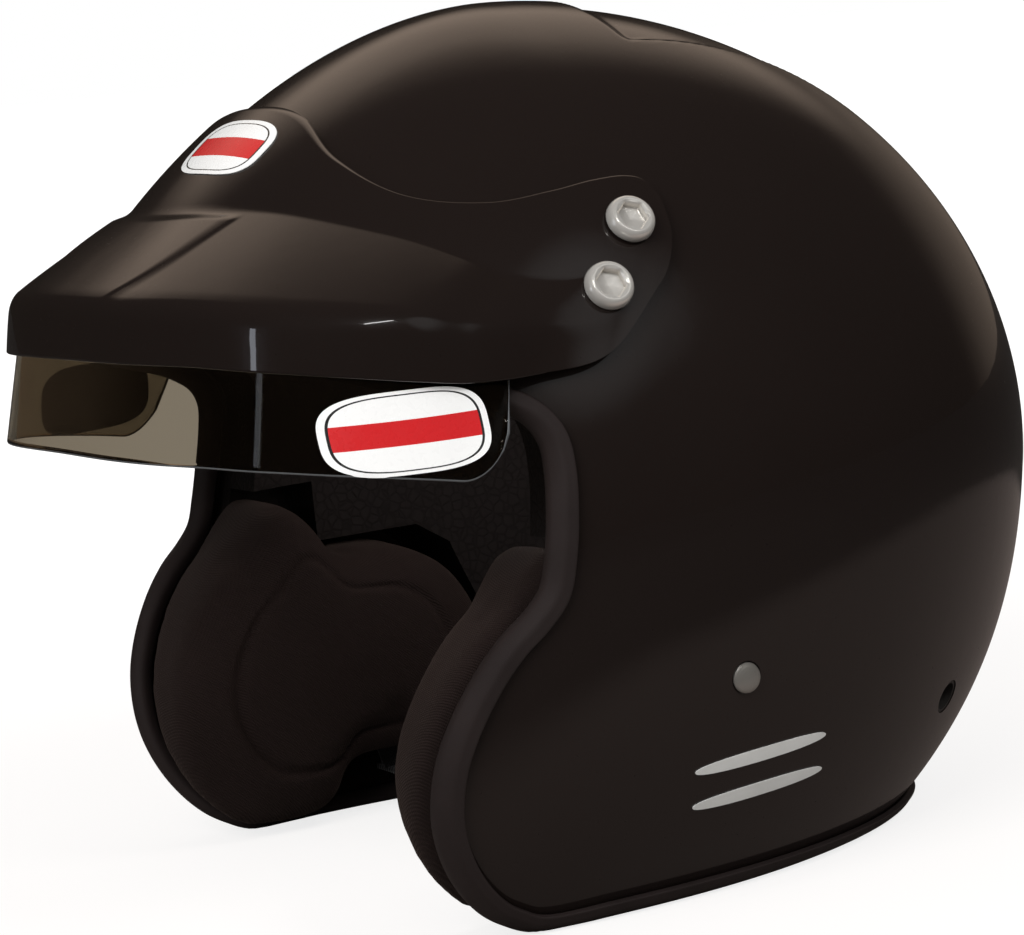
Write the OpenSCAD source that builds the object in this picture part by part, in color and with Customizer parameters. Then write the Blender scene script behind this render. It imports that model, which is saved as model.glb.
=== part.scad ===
// Open-face auto racing helmet with a screwed-on peak, a smoked eyeshade and a fastened chin strap.
// Millimetres. The face looks along -Y, +X is the wearer's left and the rim trim stands on z = 0.
// Points on the shell are written as [angle, height, depth]: the angle runs round the head from the
// wearer's left (0), the front is -90 and the back 90, and a negative depth lies outside the shell.

/* [Shell] */
// Widest width of the outer shell
shell_width = 250; // [244:2:258]
// Reach of the shell from its axis to the front
shell_front = 130; // [127:1:134]
// Reach of the shell from its axis to the back
shell_rear = 174; // [168:1:180]
// Height of the crown over the widest level
crown_rise = 150; // [146:1:154]
// Thickness of the outer skin
skin = 3.2; // [2.8:0.1:3.6]
// Depth of the shallow panel sunk in the crown
dish_depth = 1.8; // [0:0.2:2.2]

/* [Liner] */
// Thickness of the moulded foam liner
foam = 26; // [22:1:28]
// Thickness of the comfort padding
padding = 11; // [9:0.5:13]
// Thickness of a cheek pad at its middle
cheek_depth = 38; // [32:1:40]

/* [Edge trim] */
// How far the trim's lips reach over the shell
trim_lip = 4.6; // [4:0.2:5.4]
// Thickness of the trim's rubber
trim_wall = 1.7; // [1.5:0.1:1.9]

/* [Peak] */
// Thickness of the peak
peak_wall = 2.2; // [1.8:0.1:2.6]
// Gap between the peak and the shell, filled by the spacers
peak_gap = 1.5; // [1.3:0.1:1.8]
// Radius of the edge between the top of the peak and its skirt, as a share of the top
peak_round = 0.16; // [0.1:0.02:0.22]
// Height of the raised panel on top of the peak
panel_rise = 1.6; // [0:0.2:2.4]

/* [Eyeshade] */
// Thickness of the smoked sheet
shade_wall = 1.0; // [0.8:0.1:1.4]

/* [Fasteners] */
// Diameter of a peak screw's button head
head_d = 13.6; // [12.6:0.2:14.6]
// Width across the flats of the hexagon socket
hex_flats = 6.4; // [5.6:0.2:7]
// Thread diameter of the peak screws
screw_d = 5; // [4.6:0.2:5.4]
// Diameter of a chin strap rivet's head
rivet_head_d = 8.4; // [7.6:0.2:9.6]
// Shank diameter of a chin strap rivet
rivet_d = 5; // [4.4:0.2:5.4]
// Minor diameter of the thread in a head restraint insert
insert_d = 5; // [4.8:0.1:5.2]

/* [Chin strap] */
// Width of the webbing
strap_w = 22; // [20:0.5:23]
// Thickness of the webbing
strap_t = 1.8; // [1.6:0.1:1.9]
// Height of the tightened strap over the ground
strap_z = 10; // [9.8:0.1:10.4]
// Wire diameter of the D-rings
ring_wire = 3; // [2.8:0.1:3.1]

/* [Hidden] */
$fn = 40;
eps = 0.01;
half_w = shell_width / 2;
wide_z = 97;
drop = 140;
side_pow = 2.23;
up_pow = 1.88;
down_pow = 2.31;
lean = 0.158;
segments = 44;
cap_rings = 13;
skirt_rings = 7;
edge_z = 1.1;
rim_step = 360 / segments;
seat_gap = 0.3;
trim_out = 0.6;
trim_in = 1.1;
web = 0.8;
liner_k = skin + seat_gap;
cavity_k = liner_k + foam;
pad_k = cavity_k + 1.2;
lobe_k = 11.5;
cheek_k = lobe_k + 0.8;
cheek_top = 100;
middle_y = 27.98;
rear_floor = 29;
strap_y = 20;
pivot_z = 61.5;
screw_spots = [[-1.45, 182.5], [-5.7, 167]];
insert_y = 103;
insert_z = 37.5;
thread_top = -skin - 0.5;
thread_end = -11;
snap_spots = [[-49, 34], [-43, 66], [-14, 75]];

shell_color = [0.1, 0.09, 0.085];
foam_color = [0.16, 0.16, 0.17];
cloth_color = [0.13, 0.11, 0.1];
rubber_color = [0.06, 0.06, 0.06];
steel_color = [0.75, 0.76, 0.78];
smoke_color = [0.3, 0.28, 0.24, 0.6];
nylon_color = [0.2, 0.2, 0.2];
strap_color = [0.09, 0.09, 0.1];

// Shell surface

function pw(v, e) = sign(v) * pow(abs(v), e);
function mixed(a, b, t) = a + (b - a) * t;
function smooth(t) = let(c = min(max(t, 0), 1)) c * c * (3 - 2 * c);
function unit(v) = v / norm(v);
// Share of the full width left at height z, for the surface k deep.
function waist(z, k) =
    let(m = z > wide_z ? up_pow : down_pow)
    let(t = abs(z - wide_z) / ((z > wide_z ? crown_rise : drop) - k))
    pow(max(0, 1 - pow(min(t, 1), m)), 1 / m);
function length_of(front_side, k) = (front_side ? shell_front : shell_rear) - k;
function egg(a, z, k) =
    let(s = waist(z, k))
    [(half_w - k) * s * pw(cos(a), 2 / side_pow),
     length_of(sin(a) < 0, k) * s * pw(sin(a), 2 / side_pow) + lean * (z - wide_z), z];
function egg_p(p) = egg(p[0], p[1], p[2]);
function out_normal(a, z) =
    let(d = 0.05)
    unit(cross(egg(a + d, z, 0) - egg(a - d, z, 0), egg(a, z + d, 0) - egg(a, z - d, 0)));
// Angle of the surface point that lies at y and z on the wearer's left.
function angle_at(y, z) =
    let(yy = y - lean * (z - wide_z))
    let(r = pow(min(abs(yy) / (length_of(yy < 0, 0) * waist(z, 0)), 1), side_pow / 2))
    sign(yy) * asin(r);
// Sideways reach of the surface k deep at y and z.
function side_x(y, z, k) =
    let(yy = y - lean * (z - wide_z))
    let(v = pow(waist(z, k), side_pow) - pow(abs(yy) / length_of(yy < 0, k), side_pow))
    (half_w - k) * pow(max(v, 0), 1 / side_pow);

// The panel sunk in the crown: 1 inside, 0 outside.
function dish(p) =
    smooth((p[1] - 42) / 9) * smooth((128 - p[1]) / 16)
    * smooth((50 - 0.12 * (p[1] - 42) - abs(p[0])) / 7) * smooth((p[2] - 150) / 30);
function sunk(a, z, k) =
    let(p = egg(a, z, k))
    k > skin + 1 ? p : p - [0, 0, 1] * dish_depth * dish(p);

// Stands the whole helmet centred over the origin.
module in_frame() {
    translate([0, -middle_y, 0])
        children();
}

// Meshes from grids of points

function tri2(a, b, c, d) = [[a, b, c], [a, c, d]];
function flat(l) = [for (g = l) for (t = g) t];
function band(r0, r1, n, closed) = flat([for (i = [0 : n - (closed ? 1 : 2)])
    tri2(r0 + i, r1 + i, r1 + (i + 1) % n, r0 + (i + 1) % n)]);

// A closed solid from rings of equal length, the first and last capped.
module ring_solid(rings) {
    n = len(rings[0]);
    m = len(rings);
    polyhedron(
        points = flat(rings),
        faces = concat(
            flat([for (j = [0 : m - 2]) band(j * n, (j + 1) * n, n, true)]),
            [[for (i = [0 : n - 1]) i]],
            [[for (i = [n - 1 : -1 : 0]) (m - 1) * n + i]]),
        convexity = 8);
}

// A tube bent round on itself: the last ring joins the first.
module loop_solid(rings) {
    n = len(rings[0]);
    m = len(rings);
    polyhedron(
        points = flat(rings),
        faces = flat([for (j = [0 : m - 1]) band(j * n, ((j + 1) % m) * n, n, true)]),
        convexity = 12);
}

// A sheet between two grids of the same size, closed round its border.
module sheet_solid(outer, inner) {
    r = len(outer);
    c = len(outer[0]);
    k = r * c;
    polyhedron(
        points = concat(flat(outer), flat(inner)),
        faces = concat(
            flat([for (i = [0 : r - 2]) for (j = [0 : c - 2])
                tri2(i * c + j, i * c + j + 1, (i + 1) * c + j + 1, (i + 1) * c + j)]),
            flat([for (i = [0 : r - 2]) for (j = [0 : c - 2])
                tri2(k + i * c + j, k + (i + 1) * c + j, k + (i + 1) * c + j + 1, k + i * c + j + 1)]),
            flat([for (j = [0 : c - 2]) tri2(j, k + j, k + j + 1, j + 1)]),
            flat([for (j = [0 : c - 2])
                tri2((r - 1) * c + j + 1, k + (r - 1) * c + j + 1, k + (r - 1) * c + j, (r - 1) * c + j)]),
            flat([for (i = [0 : r - 2])
                tri2((i + 1) * c, k + (i + 1) * c, k + i * c, i * c)]),
            flat([for (i = [0 : r - 2])
                tri2(i * c + c - 1, k + i * c + c - 1, k + (i + 1) * c + c - 1, (i + 1) * c + c - 1)])),
        convexity = 8);
}

// The whole egg down to just under the ground, its surface k deep.
module egg_solid(k, cap = cap_rings, skirt = skirt_rings) {
    low = asin(pow(min((wide_z + 8) / (drop - k), 0.97), down_pow / 2));
    down = [for (j = [0 : skirt - 1])
        wide_z - (drop - k) * pw(sin(low * (1 - j / skirt)), 2 / down_pow)];
    up = [for (j = [0 : cap - 1])
        wide_z + (crown_rise - k) * pw(sin(87 * pow(j / (cap - 1), 0.9)), 2 / up_pow)];
    ring_solid([for (z = concat(down, up)) [for (i = [0 : segments - 1]) sunk(i * 360 / segments, z, k)]]);
}

// Edge of the shell

brow_slope = 0.28;
brow = [[-90, 165], [-79, 164.6], [-68, 163.4], [-57, 161], [-47, 157.6], [-38, 153]];
side_edge = [[-50, 147.6], [-41, 144.2], [-33, 139.6], [-28.8, 133], [-28.6, 124], [-30.4, 112],
    [-32.6, 102], [-35.2, 94], [-40.4, 88], [-47.4, 82], [-54.4, 73.6], [-60.8, 62.6], [-64.8, 51.6],
    [-66, 40], [-64.4, 29.6], [-60, 19.4], [-53.4, 10.6], [-46, 5]];
rim_start = angle_at(-36, edge_z);
rim_from = ceil(rim_start / rim_step + 0.4);
half_edge = concat(
    brow,
    [for (p = side_edge) [angle_at(p[0], p[1]), p[1]]],
    [[rim_start, edge_z]],
    [for (i = [rim_from : segments / 4]) [i * rim_step, edge_z]]);
edge_count = len(half_edge);
function mirrored(p) = [-180 - p[0], p[1]];
full_edge = concat(half_edge, [for (i = [edge_count - 2 : -1 : 1]) mirrored(half_edge[i])]);

// Side view of the opening, pushed back into the shell by b.
edge_line = concat([for (p = brow) [egg(p[0], p[1], 0)[1], p[1]]], side_edge, [[-26, -2.5]]);
function edge_yz(b) = [for (i = [0 : len(edge_line) - 1])
    let(t = unit(edge_line[min(i + 1, len(edge_line) - 1)] - edge_line[max(i - 1, 0)]))
    edge_line[i] + b * [-t[1], t[0]]];

module opening_prism(b) {
    rotate([90, 0, 90])
        translate([0, 0, -half_w * 1.5])
            linear_extrude(height = half_w * 3)
                polygon(concat([[-260, 165 + b]], edge_yz(b), [[-26 + b, -40], [-260, -40]]));
}

module side_prism(points) {
    rotate([90, 0, 90])
        translate([0, 0, -half_w * 1.5])
            linear_extrude(height = half_w * 3)
                polygon(points);
}

// Puts a child with its axis on z onto the shell's surface, pointing outward, on both sides.
module on_shell(a, z) {
    for (m = [0, 1])
        mirror([m, 0, 0])
            translate(egg(a, z, 0))
                rotate([0, acos(out_normal(a, z)[2]), atan2(out_normal(a, z)[1], out_normal(a, z)[0])])
                    children();
}

insert_a = angle_at(insert_y, insert_z);
rivet_x = side_x(strap_y, pivot_z, 0);

module outer_shell() {
    color(shell_color)
        in_frame()
            difference() {
                resize([shell_width, 0, 0])
                    difference() {
                        egg_solid(0);
                        egg_solid(skin);
                        opening_prism(0);
                        translate([-half_w * 2, -400, -100])
                            cube([half_w * 4, 800, 100 + edge_z]);
                    }
                for (s = screw_spots)
                    on_shell(s[0], s[1])
                        translate([0, 0, -12])
                            cylinder(h = 24, r = screw_d / 2 + 0.1);
                on_shell(insert_a, insert_z)
                    translate([0, 0, -12])
                        cylinder(h = 24, r = 5.1);
                for (m = [0, 1])
                    mirror([m, 0, 0])
                        translate([rivet_x - 12, strap_y, pivot_z])
                            rotate([0, 90, 0]) {
                                cylinder(h = 24, r = rivet_d / 2 + 0.1);
                                translate([0, 0, 11.2])
                                    cylinder(h = 12, r = rivet_head_d / 2 + 0.4);
                            }
            }
}

module eps_liner() {
    strap_bay = [[-4.1, -20], [48, -20], [48, rear_floor + 24], [40, rear_floor + 50], [30, 86], [-4.1, 86]];
    under_side = [[-120, -20], [260, -20], [260, rear_floor], [-4, rear_floor], [-4, 12], [-120, 12]];
    color(foam_color)
        in_frame()
            difference() {
                resize([shell_width - 2 * liner_k, 0, 0])
                    difference() {
                        egg_solid(liner_k);
                        egg_solid(cavity_k, 11, 6);
                        opening_prism(trim_lip + 2.2);
                        intersection() {
                            egg_solid(lobe_k, 8, 6);
                            side_prism([[-120, -20], [-4, -20], [-4, cheek_top + 2], [-120, cheek_top + 2]]);
                        }
                        side_prism(strap_bay);
                        side_prism(under_side);
                    }
                for (s = screw_spots)
                    on_shell(s[0], s[1])
                        translate([0, 0, -skin - 6.5])
                            cylinder(h = 16, r = 8);
                on_shell(insert_a, insert_z)
                    translate([0, 0, thread_end - 3])
                        cylinder(h = 24, r = 8.4, $fn = 8);
                for (s = snap_spots)
                    for (m = [0, 1])
                        mirror([m, 0, 0])
                            translate([side_x(s[0], s[1], lobe_k), s[0], s[1]])
                                rotate([0, 90, 0]) {
                                    translate([0, 0, -3])
                                        cylinder(h = 5.9, r = 4.2);
                                    cylinder(h = 6, r = 2.2);
                                }
            }
}

// Padding

// Rounds a pad's thickness off towards its border: 1 in the middle, rest at the edge.
function plump(u, v, rest) =
    let(e = (1 - pow(abs(2 * u - 1), 6)) * (1 - pow(abs(2 * v - 1), 4)))
    rest + (1 - rest) * sqrt(max(e, 0));
// A stitched channel across the pad at each listed place.
function channel(v, places, width) =
    len([for (c = places) if (abs(v - c) < width) c]) > 0 ? 0.66 : 1;

// A pad lying on the foam between two angles and two heights.
module arc_pad(a0, a1, z0, z1, k, depth, cols, rows, seams, rest) {
    outer = [for (i = [0 : rows]) [for (j = [0 : cols])
        let(u = j / cols)
        let(v = i / rows)
        egg(mixed(a0, a1, u), mixed(z0, z1, v), k)]];
    inner = [for (i = [0 : rows]) [for (j = [0 : cols])
        let(u = j / cols)
        let(v = i / rows)
        let(d = depth * plump(u, v, rest) * channel(u, seams, 0.45 / cols))
        egg(mixed(a0, a1, u), mixed(z0, z1, v), k + d)]];
    sheet_solid(inner, outer);
}

// Height of the surface k deep over a ring that is t of its full width.
function dome_z(t, k) = wide_z + (crown_rise - k) * pow(1 - pow(t, up_pow), 1 / up_pow);
function dome(a, t, k) = egg(a, dome_z(t, k), k);

module crown_pad() {
    reach = waist(wide_z + crown_rise * 0.687, pad_k);
    sides = 32;
    // Share of the reach and of the thickness, from the middle of the face round to the middle of the back.
    profile = [[0.06, 1], [0.22, 1], [0.4, 1], [0.58, 1], [0.64, 0.62], [0.7, 1], [0.84, 0.95], [0.93, 0.72],
        [0.985, 0.3], [1, 0], [0.9, 0], [0.74, 0], [0.56, 0], [0.38, 0], [0.2, 0], [0.06, 0]];
    color(cloth_color)
        in_frame()
            ring_solid([for (l = profile)
                [for (i = [0 : sides - 1])
                    dome(i * 360 / sides, reach * l[0], pad_k + padding * l[1])]]);
}

module brow_pad() {
    color(cloth_color)
        in_frame()
            arc_pad(-162, -18, wide_z + crown_rise * 0.5, wide_z + crown_rise * 0.667, pad_k, padding, 30, 8,
                [0.18, 0.34, 0.5, 0.66, 0.82], 0.3);
}

module rear_pad() {
    color(cloth_color)
        in_frame()
            arc_pad(28, 152, wide_z - drop * 0.25, wide_z + crown_rise / 6, pad_k, padding, 26, 9,
                [0.27, 0.5, 0.73], 0.3);
}

module neck_roll() {
    color(cloth_color)
        in_frame()
            arc_pad(30, 150, 9.5, rear_floor - 1.5, liner_k + 0.9, foam - 6, 26, 9, [0.2, 0.4, 0.6, 0.8], 0.18);
}

// Side view of a cheek pad: flush with the shell's edge in front, and clear of the strap behind.
cheek_front = [for (p = side_edge) if (p[1] < cheek_top - 5) [p[0] - 0.5, max(p[1], 6)]];
cheek_outline = concat(cheek_front, [[-36, 3.8], [-25, 3.8], [-18, 6], [-14, 11], [-10, 15.6], [-3, 17.6],
    [18, 18], [31, 20], [38, 26.5], [41, 38], [40.5, 52], [37, 65], [30, 76], [19, 82.5], [6, 84],
    [-6.4, 84.8], [-9.5, 90.5], [-14.5, 96], [-22, cheek_top - 0.6], [-29, cheek_top - 1.4]]);
cheek_mid = [-8, 50];
// The face against the cheek, flaring out at the front.
function cheek_face(y, z) =
    let(flare = 5 * smooth((-y - 18) / 38) - 4 * smooth((y - 4) / 34))
    104 - cheek_depth + flare + 2.5 * smooth(abs(z - 48) / 34);
// Each layer is scaled from the middle and lies this far from the shell side to the face.
cheek_layers = [[0.02, 1], [0.3, 1], [0.6, 0.985], [0.64, 0.94], [0.68, 0.985], [0.84, 0.96],
    [0.94, 0.88], [0.985, 0.72], [1, 0.5], [1, 0.1], [0.98, 0.01], [0.55, 0], [0.02, 0]];

module cheek_pad() {
    ring_solid([for (l = cheek_layers) [for (p = cheek_outline)
        let(q = cheek_mid + (p - cheek_mid) * l[0])
        [mixed(side_x(q[0], q[1], cheek_k), cheek_face(q[0], q[1]), l[1]), q[0], q[1]]]]);
}

module cheek_pad_left() {
    color(cloth_color)
        in_frame()
            cheek_pad();
}

module cheek_pad_right() {
    color(cloth_color)
        in_frame()
            mirror([1, 0, 0])
                cheek_pad();
}

// Rubber channel round the whole edge of the shell

// Section of the channel: distance into the shell along its skin, and height over the skin.
trim_section = [
    [trim_lip, trim_out], [trim_lip - 0.1, trim_out + trim_wall * 0.55],
    [trim_lip * 0.7, trim_out + trim_wall], [0.6, trim_out + trim_wall],
    [-web - trim_wall * 0.5, trim_out * 0.4], [-web - trim_wall * 0.8, -skin * 0.5],
    [-web - trim_wall * 0.5, -skin - trim_in * 0.6], [0.6, -skin - trim_in - trim_wall],
    [trim_lip * 0.8, -skin - trim_in - trim_wall], [trim_lip, -skin - trim_in - trim_wall * 0.5],
    [trim_lip, -skin - trim_in], [-web * 0.5, -skin - trim_in], [-web * 0.5, trim_out]];

// Normal of the face that the shell was cut along: brow, side of the opening, or level rim.
function cut_normal(i, t) =
    let(j = i < edge_count ? i : 2 * edge_count - 2 - i)
    j < len(brow) ? [0, brow_slope, 1] : j < len(brow) + len(side_edge) ? [0, -t[2], t[1]] : [0, 0, 1];
// Way across the thickness along that face, for one millimetre of thickness.
function across(i, t, nrm) =
    let(d = cross(t, cut_normal(i, t)))
    d / (d * nrm);

module edge_trim() {
    n = len(full_edge);
    color(rubber_color)
        in_frame()
            difference() {
                loop_solid([for (i = [0 : n - 1])
                    let(c = full_edge[i])
                    let(p = egg(c[0], c[1], 0))
                    let(q0 = full_edge[(i + n - 1) % n])
                    let(q1 = full_edge[(i + 1) % n])
                    let(t = unit(egg(q1[0], q1[1], 0) - egg(q0[0], q0[1], 0)))
                    let(nrm = out_normal(c[0], c[1]))
                    let(b = unit(cross(nrm, t)))
                    let(d = across(i, t, nrm))
                    [for (s = trim_section) p + b * s[0] + d * s[1]]]);
                translate([-half_w * 2, -400, -20])
                    cube([half_w * 4, 800, 20]);
            }
}

// Peak

// Stations from the middle of the front round to the rear end of the ear plate.
// Rows: upper edge, crease where the brim leaves the shell, edge of the brim, lower edge of the skirt.
peak_top = [[-90, 224.5, 0], [-68, 221, 0], [-51, 209, 0], [-35, 198, 0], [-21.5, 194, 0], [-11.5, 195, 0],
    [-4.5, 196.5, 0], [0.5, 196, 0], [2.2, 190, 0]];
peak_crease = [[-90, 198.5, -0.5], [-73.5, 198.5, -0.5], [-55, 196, -0.5], [-36, 188.5, -0.5],
    [-25, 181, -0.5],
    [-18, 174, -0.4], [-10, 172, -0.2], [-3, 175, 0], [2.4, 182, 0]];
peak_brim = [[-90, 178, -14], [-64, 177, -18.4], [-50, 174.5, -21.4], [-40, 172, -21], [-31, 169, -18.2],
    [-24, 165, -11.4], [-14, 161, -3], [-5, 161, -0.2], [1.8, 174.5, 0]];
peak_skirt = [[-90, 162, -7.4], [-63, 161, -12.4], [-49, 158.5, -16], [-39, 155.7, -16], [-30, 152.5, -13.6],
    [-23, 150, -8.4], [-15, 149.5, -1.6], [-6.5, 152, -0.2], [0.8, 167, 0]];
shade_low = [[-90, 137.5, -1.4], [-62.4, 136.2, -7.3], [-48, 133.8, -11.4], [-38, 131, -12.3],
    [-28.7, 127.7, -10.6],
    [-22.7, 125.3, -8.3], [-17.6, 123.2, -5.9]];
peak_out = -peak_gap - peak_wall;
peak_sub = 3;
peak_last = len(peak_top) - 1;

function cage(l, i) = i < 0 ? [-180 - l[-i][0], l[-i][1], l[-i][2]] : l[min(i, len(l) - 1)];
// A smooth curve through the stations of a row.
function along(l, u) =
    let(i = min(floor(u), len(l) - 2))
    let(t = u - i)
    let(a = cage(l, i - 1))
    let(b = cage(l, i))
    let(c = cage(l, i + 1))
    let(d = cage(l, i + 2))
    0.5 * (2 * b + (c - a) * t + (2 * a - 5 * b + 4 * c - d) * t * t + (3 * b - a - 3 * c + d) * t * t * t);
function bend(a, b, c, t) = mixed(mixed(a, b, t), mixed(b, c, t), t);
function panel(u, v) = panel_rise * smooth((mixed(1.575, 0.475, v) - u) / 0.25) * smooth(v * 5);
// The peak's points at station u: top edge, flange, crease, brim, rounded edge and skirt.
function peak_column(u) =
    let(t = along(peak_top, u))
    let(c = along(peak_crease, u))
    let(b = along(peak_brim, u))
    let(s = along(peak_skirt, u))
    let(r0 = mixed(c, b, 1 - peak_round))
    let(r1 = mixed(b, s, 0.3))
    [t, mixed(t, c, 0.35), mixed(t, c, 0.7), c,
     mixed(c, b, 0.12) - [0, 0, panel(u, 0.12)], mixed(c, b, 0.4) - [0, 0, panel(u, 0.4)],
     mixed(c, b, 0.66) - [0, 0, panel(u, 0.66)], r0 - [0, 0, panel(u, 0.84)],
     bend(r0, b, r1, 0.34), bend(r0, b, r1, 0.67), r1, mixed(b, s, 0.65), s];
function lift(p, k) = egg(p[0], p[1], p[2] + k);
function flip_x(p) = [-p[0], p[1], p[2]];
function both_sides(half) = concat(
    [for (i = [len(half) - 1 : -1 : 1]) [for (p = half[i]) flip_x(p)]],
    half);
function peak_grid(k) = both_sides([for (i = [0 : peak_last * peak_sub])
    [for (p = peak_column(i / peak_sub)) lift(p, k)]]);

module peak() {
    color(shell_color)
        in_frame()
            difference() {
                sheet_solid(peak_grid(peak_out + peak_wall), peak_grid(peak_out));
                for (s = screw_spots)
                    on_shell(s[0], s[1])
                        cylinder(h = 14, r = screw_d / 2 + 0.1);
            }
}

// Smoked sheet carried inside the peak's skirt

shade_end = 5.56;
shade_turn = 4.75;
shade_corner = 13;
shade_k = peak_wall + 0.6;
function shade_column(u) =
    let(b = along(peak_brim, u))
    let(s = along(peak_skirt, u))
    let(l = along(shade_low, u))
    let(q = min(max((u - shade_turn) / (shade_end - shade_turn), 0), 1))
    let(up = shade_corner * (1 - sqrt(max(0, 1 - q * q))))
    let(f = up / (s[1] - l[1]))
    let(e = mixed(l, s - [0, 0, -peak_out], f))
    let(top = lift(mixed(b, s, 0.62), peak_out + shade_k))
    let(mid = lift(s, peak_out + shade_k))
    let(low = lift(e, 0))
    [top, mid, mixed(mid, low, 0.34), mixed(mid, low, 0.67), low];
function shade_grid(t) = both_sides([for (i = [0 : 24])
    let(u = shade_end * i / 24)
    let(col = shade_column(u))
    let(c2 = shade_column(u + 0.02))
    [for (j = [0 : len(col) - 1])
        let(a = j > 0 ? col[j - 1] : col[j])
        let(b = j > 0 ? col[j] : col[j + 1])
        col[j] + t * unit(cross(c2[j] - col[j], b - a))]]);

module eyeshade() {
    color(smoke_color)
        in_frame()
            sheet_solid(shade_grid(shade_wall), shade_grid(0));
}

// Peak fasteners

module peak_screws() {
    color(steel_color)
        in_frame()
            for (s = screw_spots)
                on_shell(s[0], s[1])
                    translate([0, 0, seat_gap + 0.2 - peak_out])
                        difference() {
                            union() {
                                rotate_extrude()
                                    polygon(concat(
                                        [[0, 0], [head_d / 2 - 0.2, 0], [head_d / 2, 0.4]],
                                        [for (a = [15 : 15 : 90])
                                            [4.4 + (head_d / 2 - 4.4) * cos(a), 0.4 + 3.1 * sin(a)]],
                                        [[0, 3.5]]));
                                translate([0, 0, -13.4])
                                    cylinder(h = 13.5, r = screw_d / 2);
                            }
                            translate([0, 0, 1.1])
                                rotate([0, 0, 12])
                                    cylinder(h = 4, r = hex_flats / sqrt(3), $fn = 6);
                        }
}

module peak_spacers() {
    color(nylon_color)
        in_frame()
            for (s = screw_spots)
                on_shell(s[0], s[1])
                    translate([0, 0, 0.2])
                        difference() {
                            cylinder(h = peak_gap - 0.6, r = 4.6);
                            translate([0, 0, -1])
                                cylinder(h = 6, r = screw_d / 2 + 0.1);
                        }
}

module peak_nuts() {
    color(steel_color)
        in_frame()
            for (s = screw_spots)
                on_shell(s[0], s[1])
                    translate([0, 0, -skin - 4.9])
                        difference() {
                            union() {
                                cylinder(h = 4, r = 4.4);
                                translate([0, 0, 2.8])
                                    cylinder(h = 1.4, r = 7);
                            }
                            translate([0, 0, -1])
                                cylinder(h = 8, r = screw_d / 2 + 0.05);
                        }
}

// Chin strap fixings

anchor_x = side_x(strap_y + 13, pivot_z - 13, skin) - 0.8;

module strap_rivets() {
    boss = side_x(strap_y, pivot_z, skin) - anchor_x - 1.9;
    color(steel_color)
        in_frame()
            for (m = [0, 1])
                mirror([m, 0, 0])
                    translate([0, strap_y, pivot_z])
                        rotate([0, 90, 0]) {
                            translate([0, 0, rivet_x - 0.7])
                                rotate_extrude()
                                    polygon(concat(
                                        [[0, 0]],
                                        [for (a = [0 : 15 : 90])
                                            [rivet_head_d / 2 * cos(a), 0.7 + 1.5 * sin(a)]]));
                            translate([0, 0, anchor_x - 2.9])
                                cylinder(h = rivet_x - anchor_x + 2.3, r = rivet_d / 2);
                            translate([0, 0, anchor_x - 3])
                                cylinder(h = 1.2, r = rivet_d / 2 + 2.2);
                            translate([0, 0, anchor_x + 0.3])
                                cylinder(h = boss, r = rivet_d / 2 + 1.6);
                        }
}

module strap_anchors() {
    color(steel_color)
        in_frame()
            for (m = [0, 1])
                mirror([m, 0, 0])
                    translate([anchor_x, strap_y, pivot_z])
                        rotate([0, -90, 0])
                            difference() {
                                union() {
                                    translate([-7, -strap_w / 2, 0])
                                        mirror([1, 0, 0])
                                            cube([6, strap_w, 1.5]);
                                    translate([-8, -strap_w / 2 + 4, 0])
                                        cube([8, strap_w - 8, 1.5]);
                                    cylinder(h = 1.5, r = 8);
                                }
                                translate([0, 0, -1])
                                    cylinder(h = 4, r = rivet_d / 2 + 0.06);
                            }
}

// Outline of a strip of webbing along a path in the x-z plane.
function path_normal(p, i) =
    let(a = p[max(i - 1, 0)])
    let(b = p[min(i + 1, len(p) - 1)])
    let(d = unit(b - a))
    [-d[1], d[0]];
function ribbon(p, t) = concat(
    [for (i = [0 : len(p) - 1]) p[i] + path_normal(p, i) * t / 2],
    [for (i = [len(p) - 1 : -1 : 0]) p[i] - path_normal(p, i) * t / 2]);
function arc(c, r, a0, a1, n) = [for (i = [0 : n])
    let(a = mixed(a0, a1, i / n))
    c + r * [cos(a), sin(a)]];

strap_top = pivot_z - 8.6;
strap_x = anchor_x - 1.5 - strap_t / 2 - 0.02;
strap_turn = 6.2;
// The strap hangs from its anchor inside the shell and turns under the pads to cross at height z.
function drop_path(z) = concat(
    [[strap_x, strap_top], [strap_x, strap_top - 6]],
    [for (h = [41, 35, 29, 23, 18]) [side_x(strap_y + 14, h, skin) - 3, h]],
    arc([side_x(strap_y + 14, 16, skin) - 10.5, z + strap_turn], strap_turn, -15, -90, 5));
wire = ring_wire / 2;
wrap = wire + 0.8 + strap_t / 2;
loop_r = wire + 0.3 + strap_t / 2;
lower_arc = [24.2, strap_z + 0.3 + strap_t + wrap];
upper_arc = lower_arc + [5.8, 3.6];
ring_len = 19.5;
lower_bar = lower_arc + [ring_len, 0];
upper_bar = upper_arc + [ring_len, 0];
turn_x = upper_arc[0] + 1.2;
turn_r = (upper_arc[1] + wrap - strap_z) / 2;
tail_z = lower_arc[1] - wrap;
tail_end = -20;

module chin_strap_left() {
    z = strap_z + 1;
    sewn = 56;
    tail = z + strap_t + 0.1;
    loop = concat(
        [[sewn, z]],
        arc(lower_bar, loop_r, 270, 122, 7),
        arc(upper_bar, loop_r, 122, 38, 4),
        [[sewn + 1, tail], [sewn + 9, tail]]);
    color(strap_color)
        in_frame()
            translate([0, strap_y + strap_w / 2, 0])
                rotate([90, 0, 0])
                    linear_extrude(height = strap_w)
                        polygon(ribbon(concat(drop_path(z), loop), strap_t));
}

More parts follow.
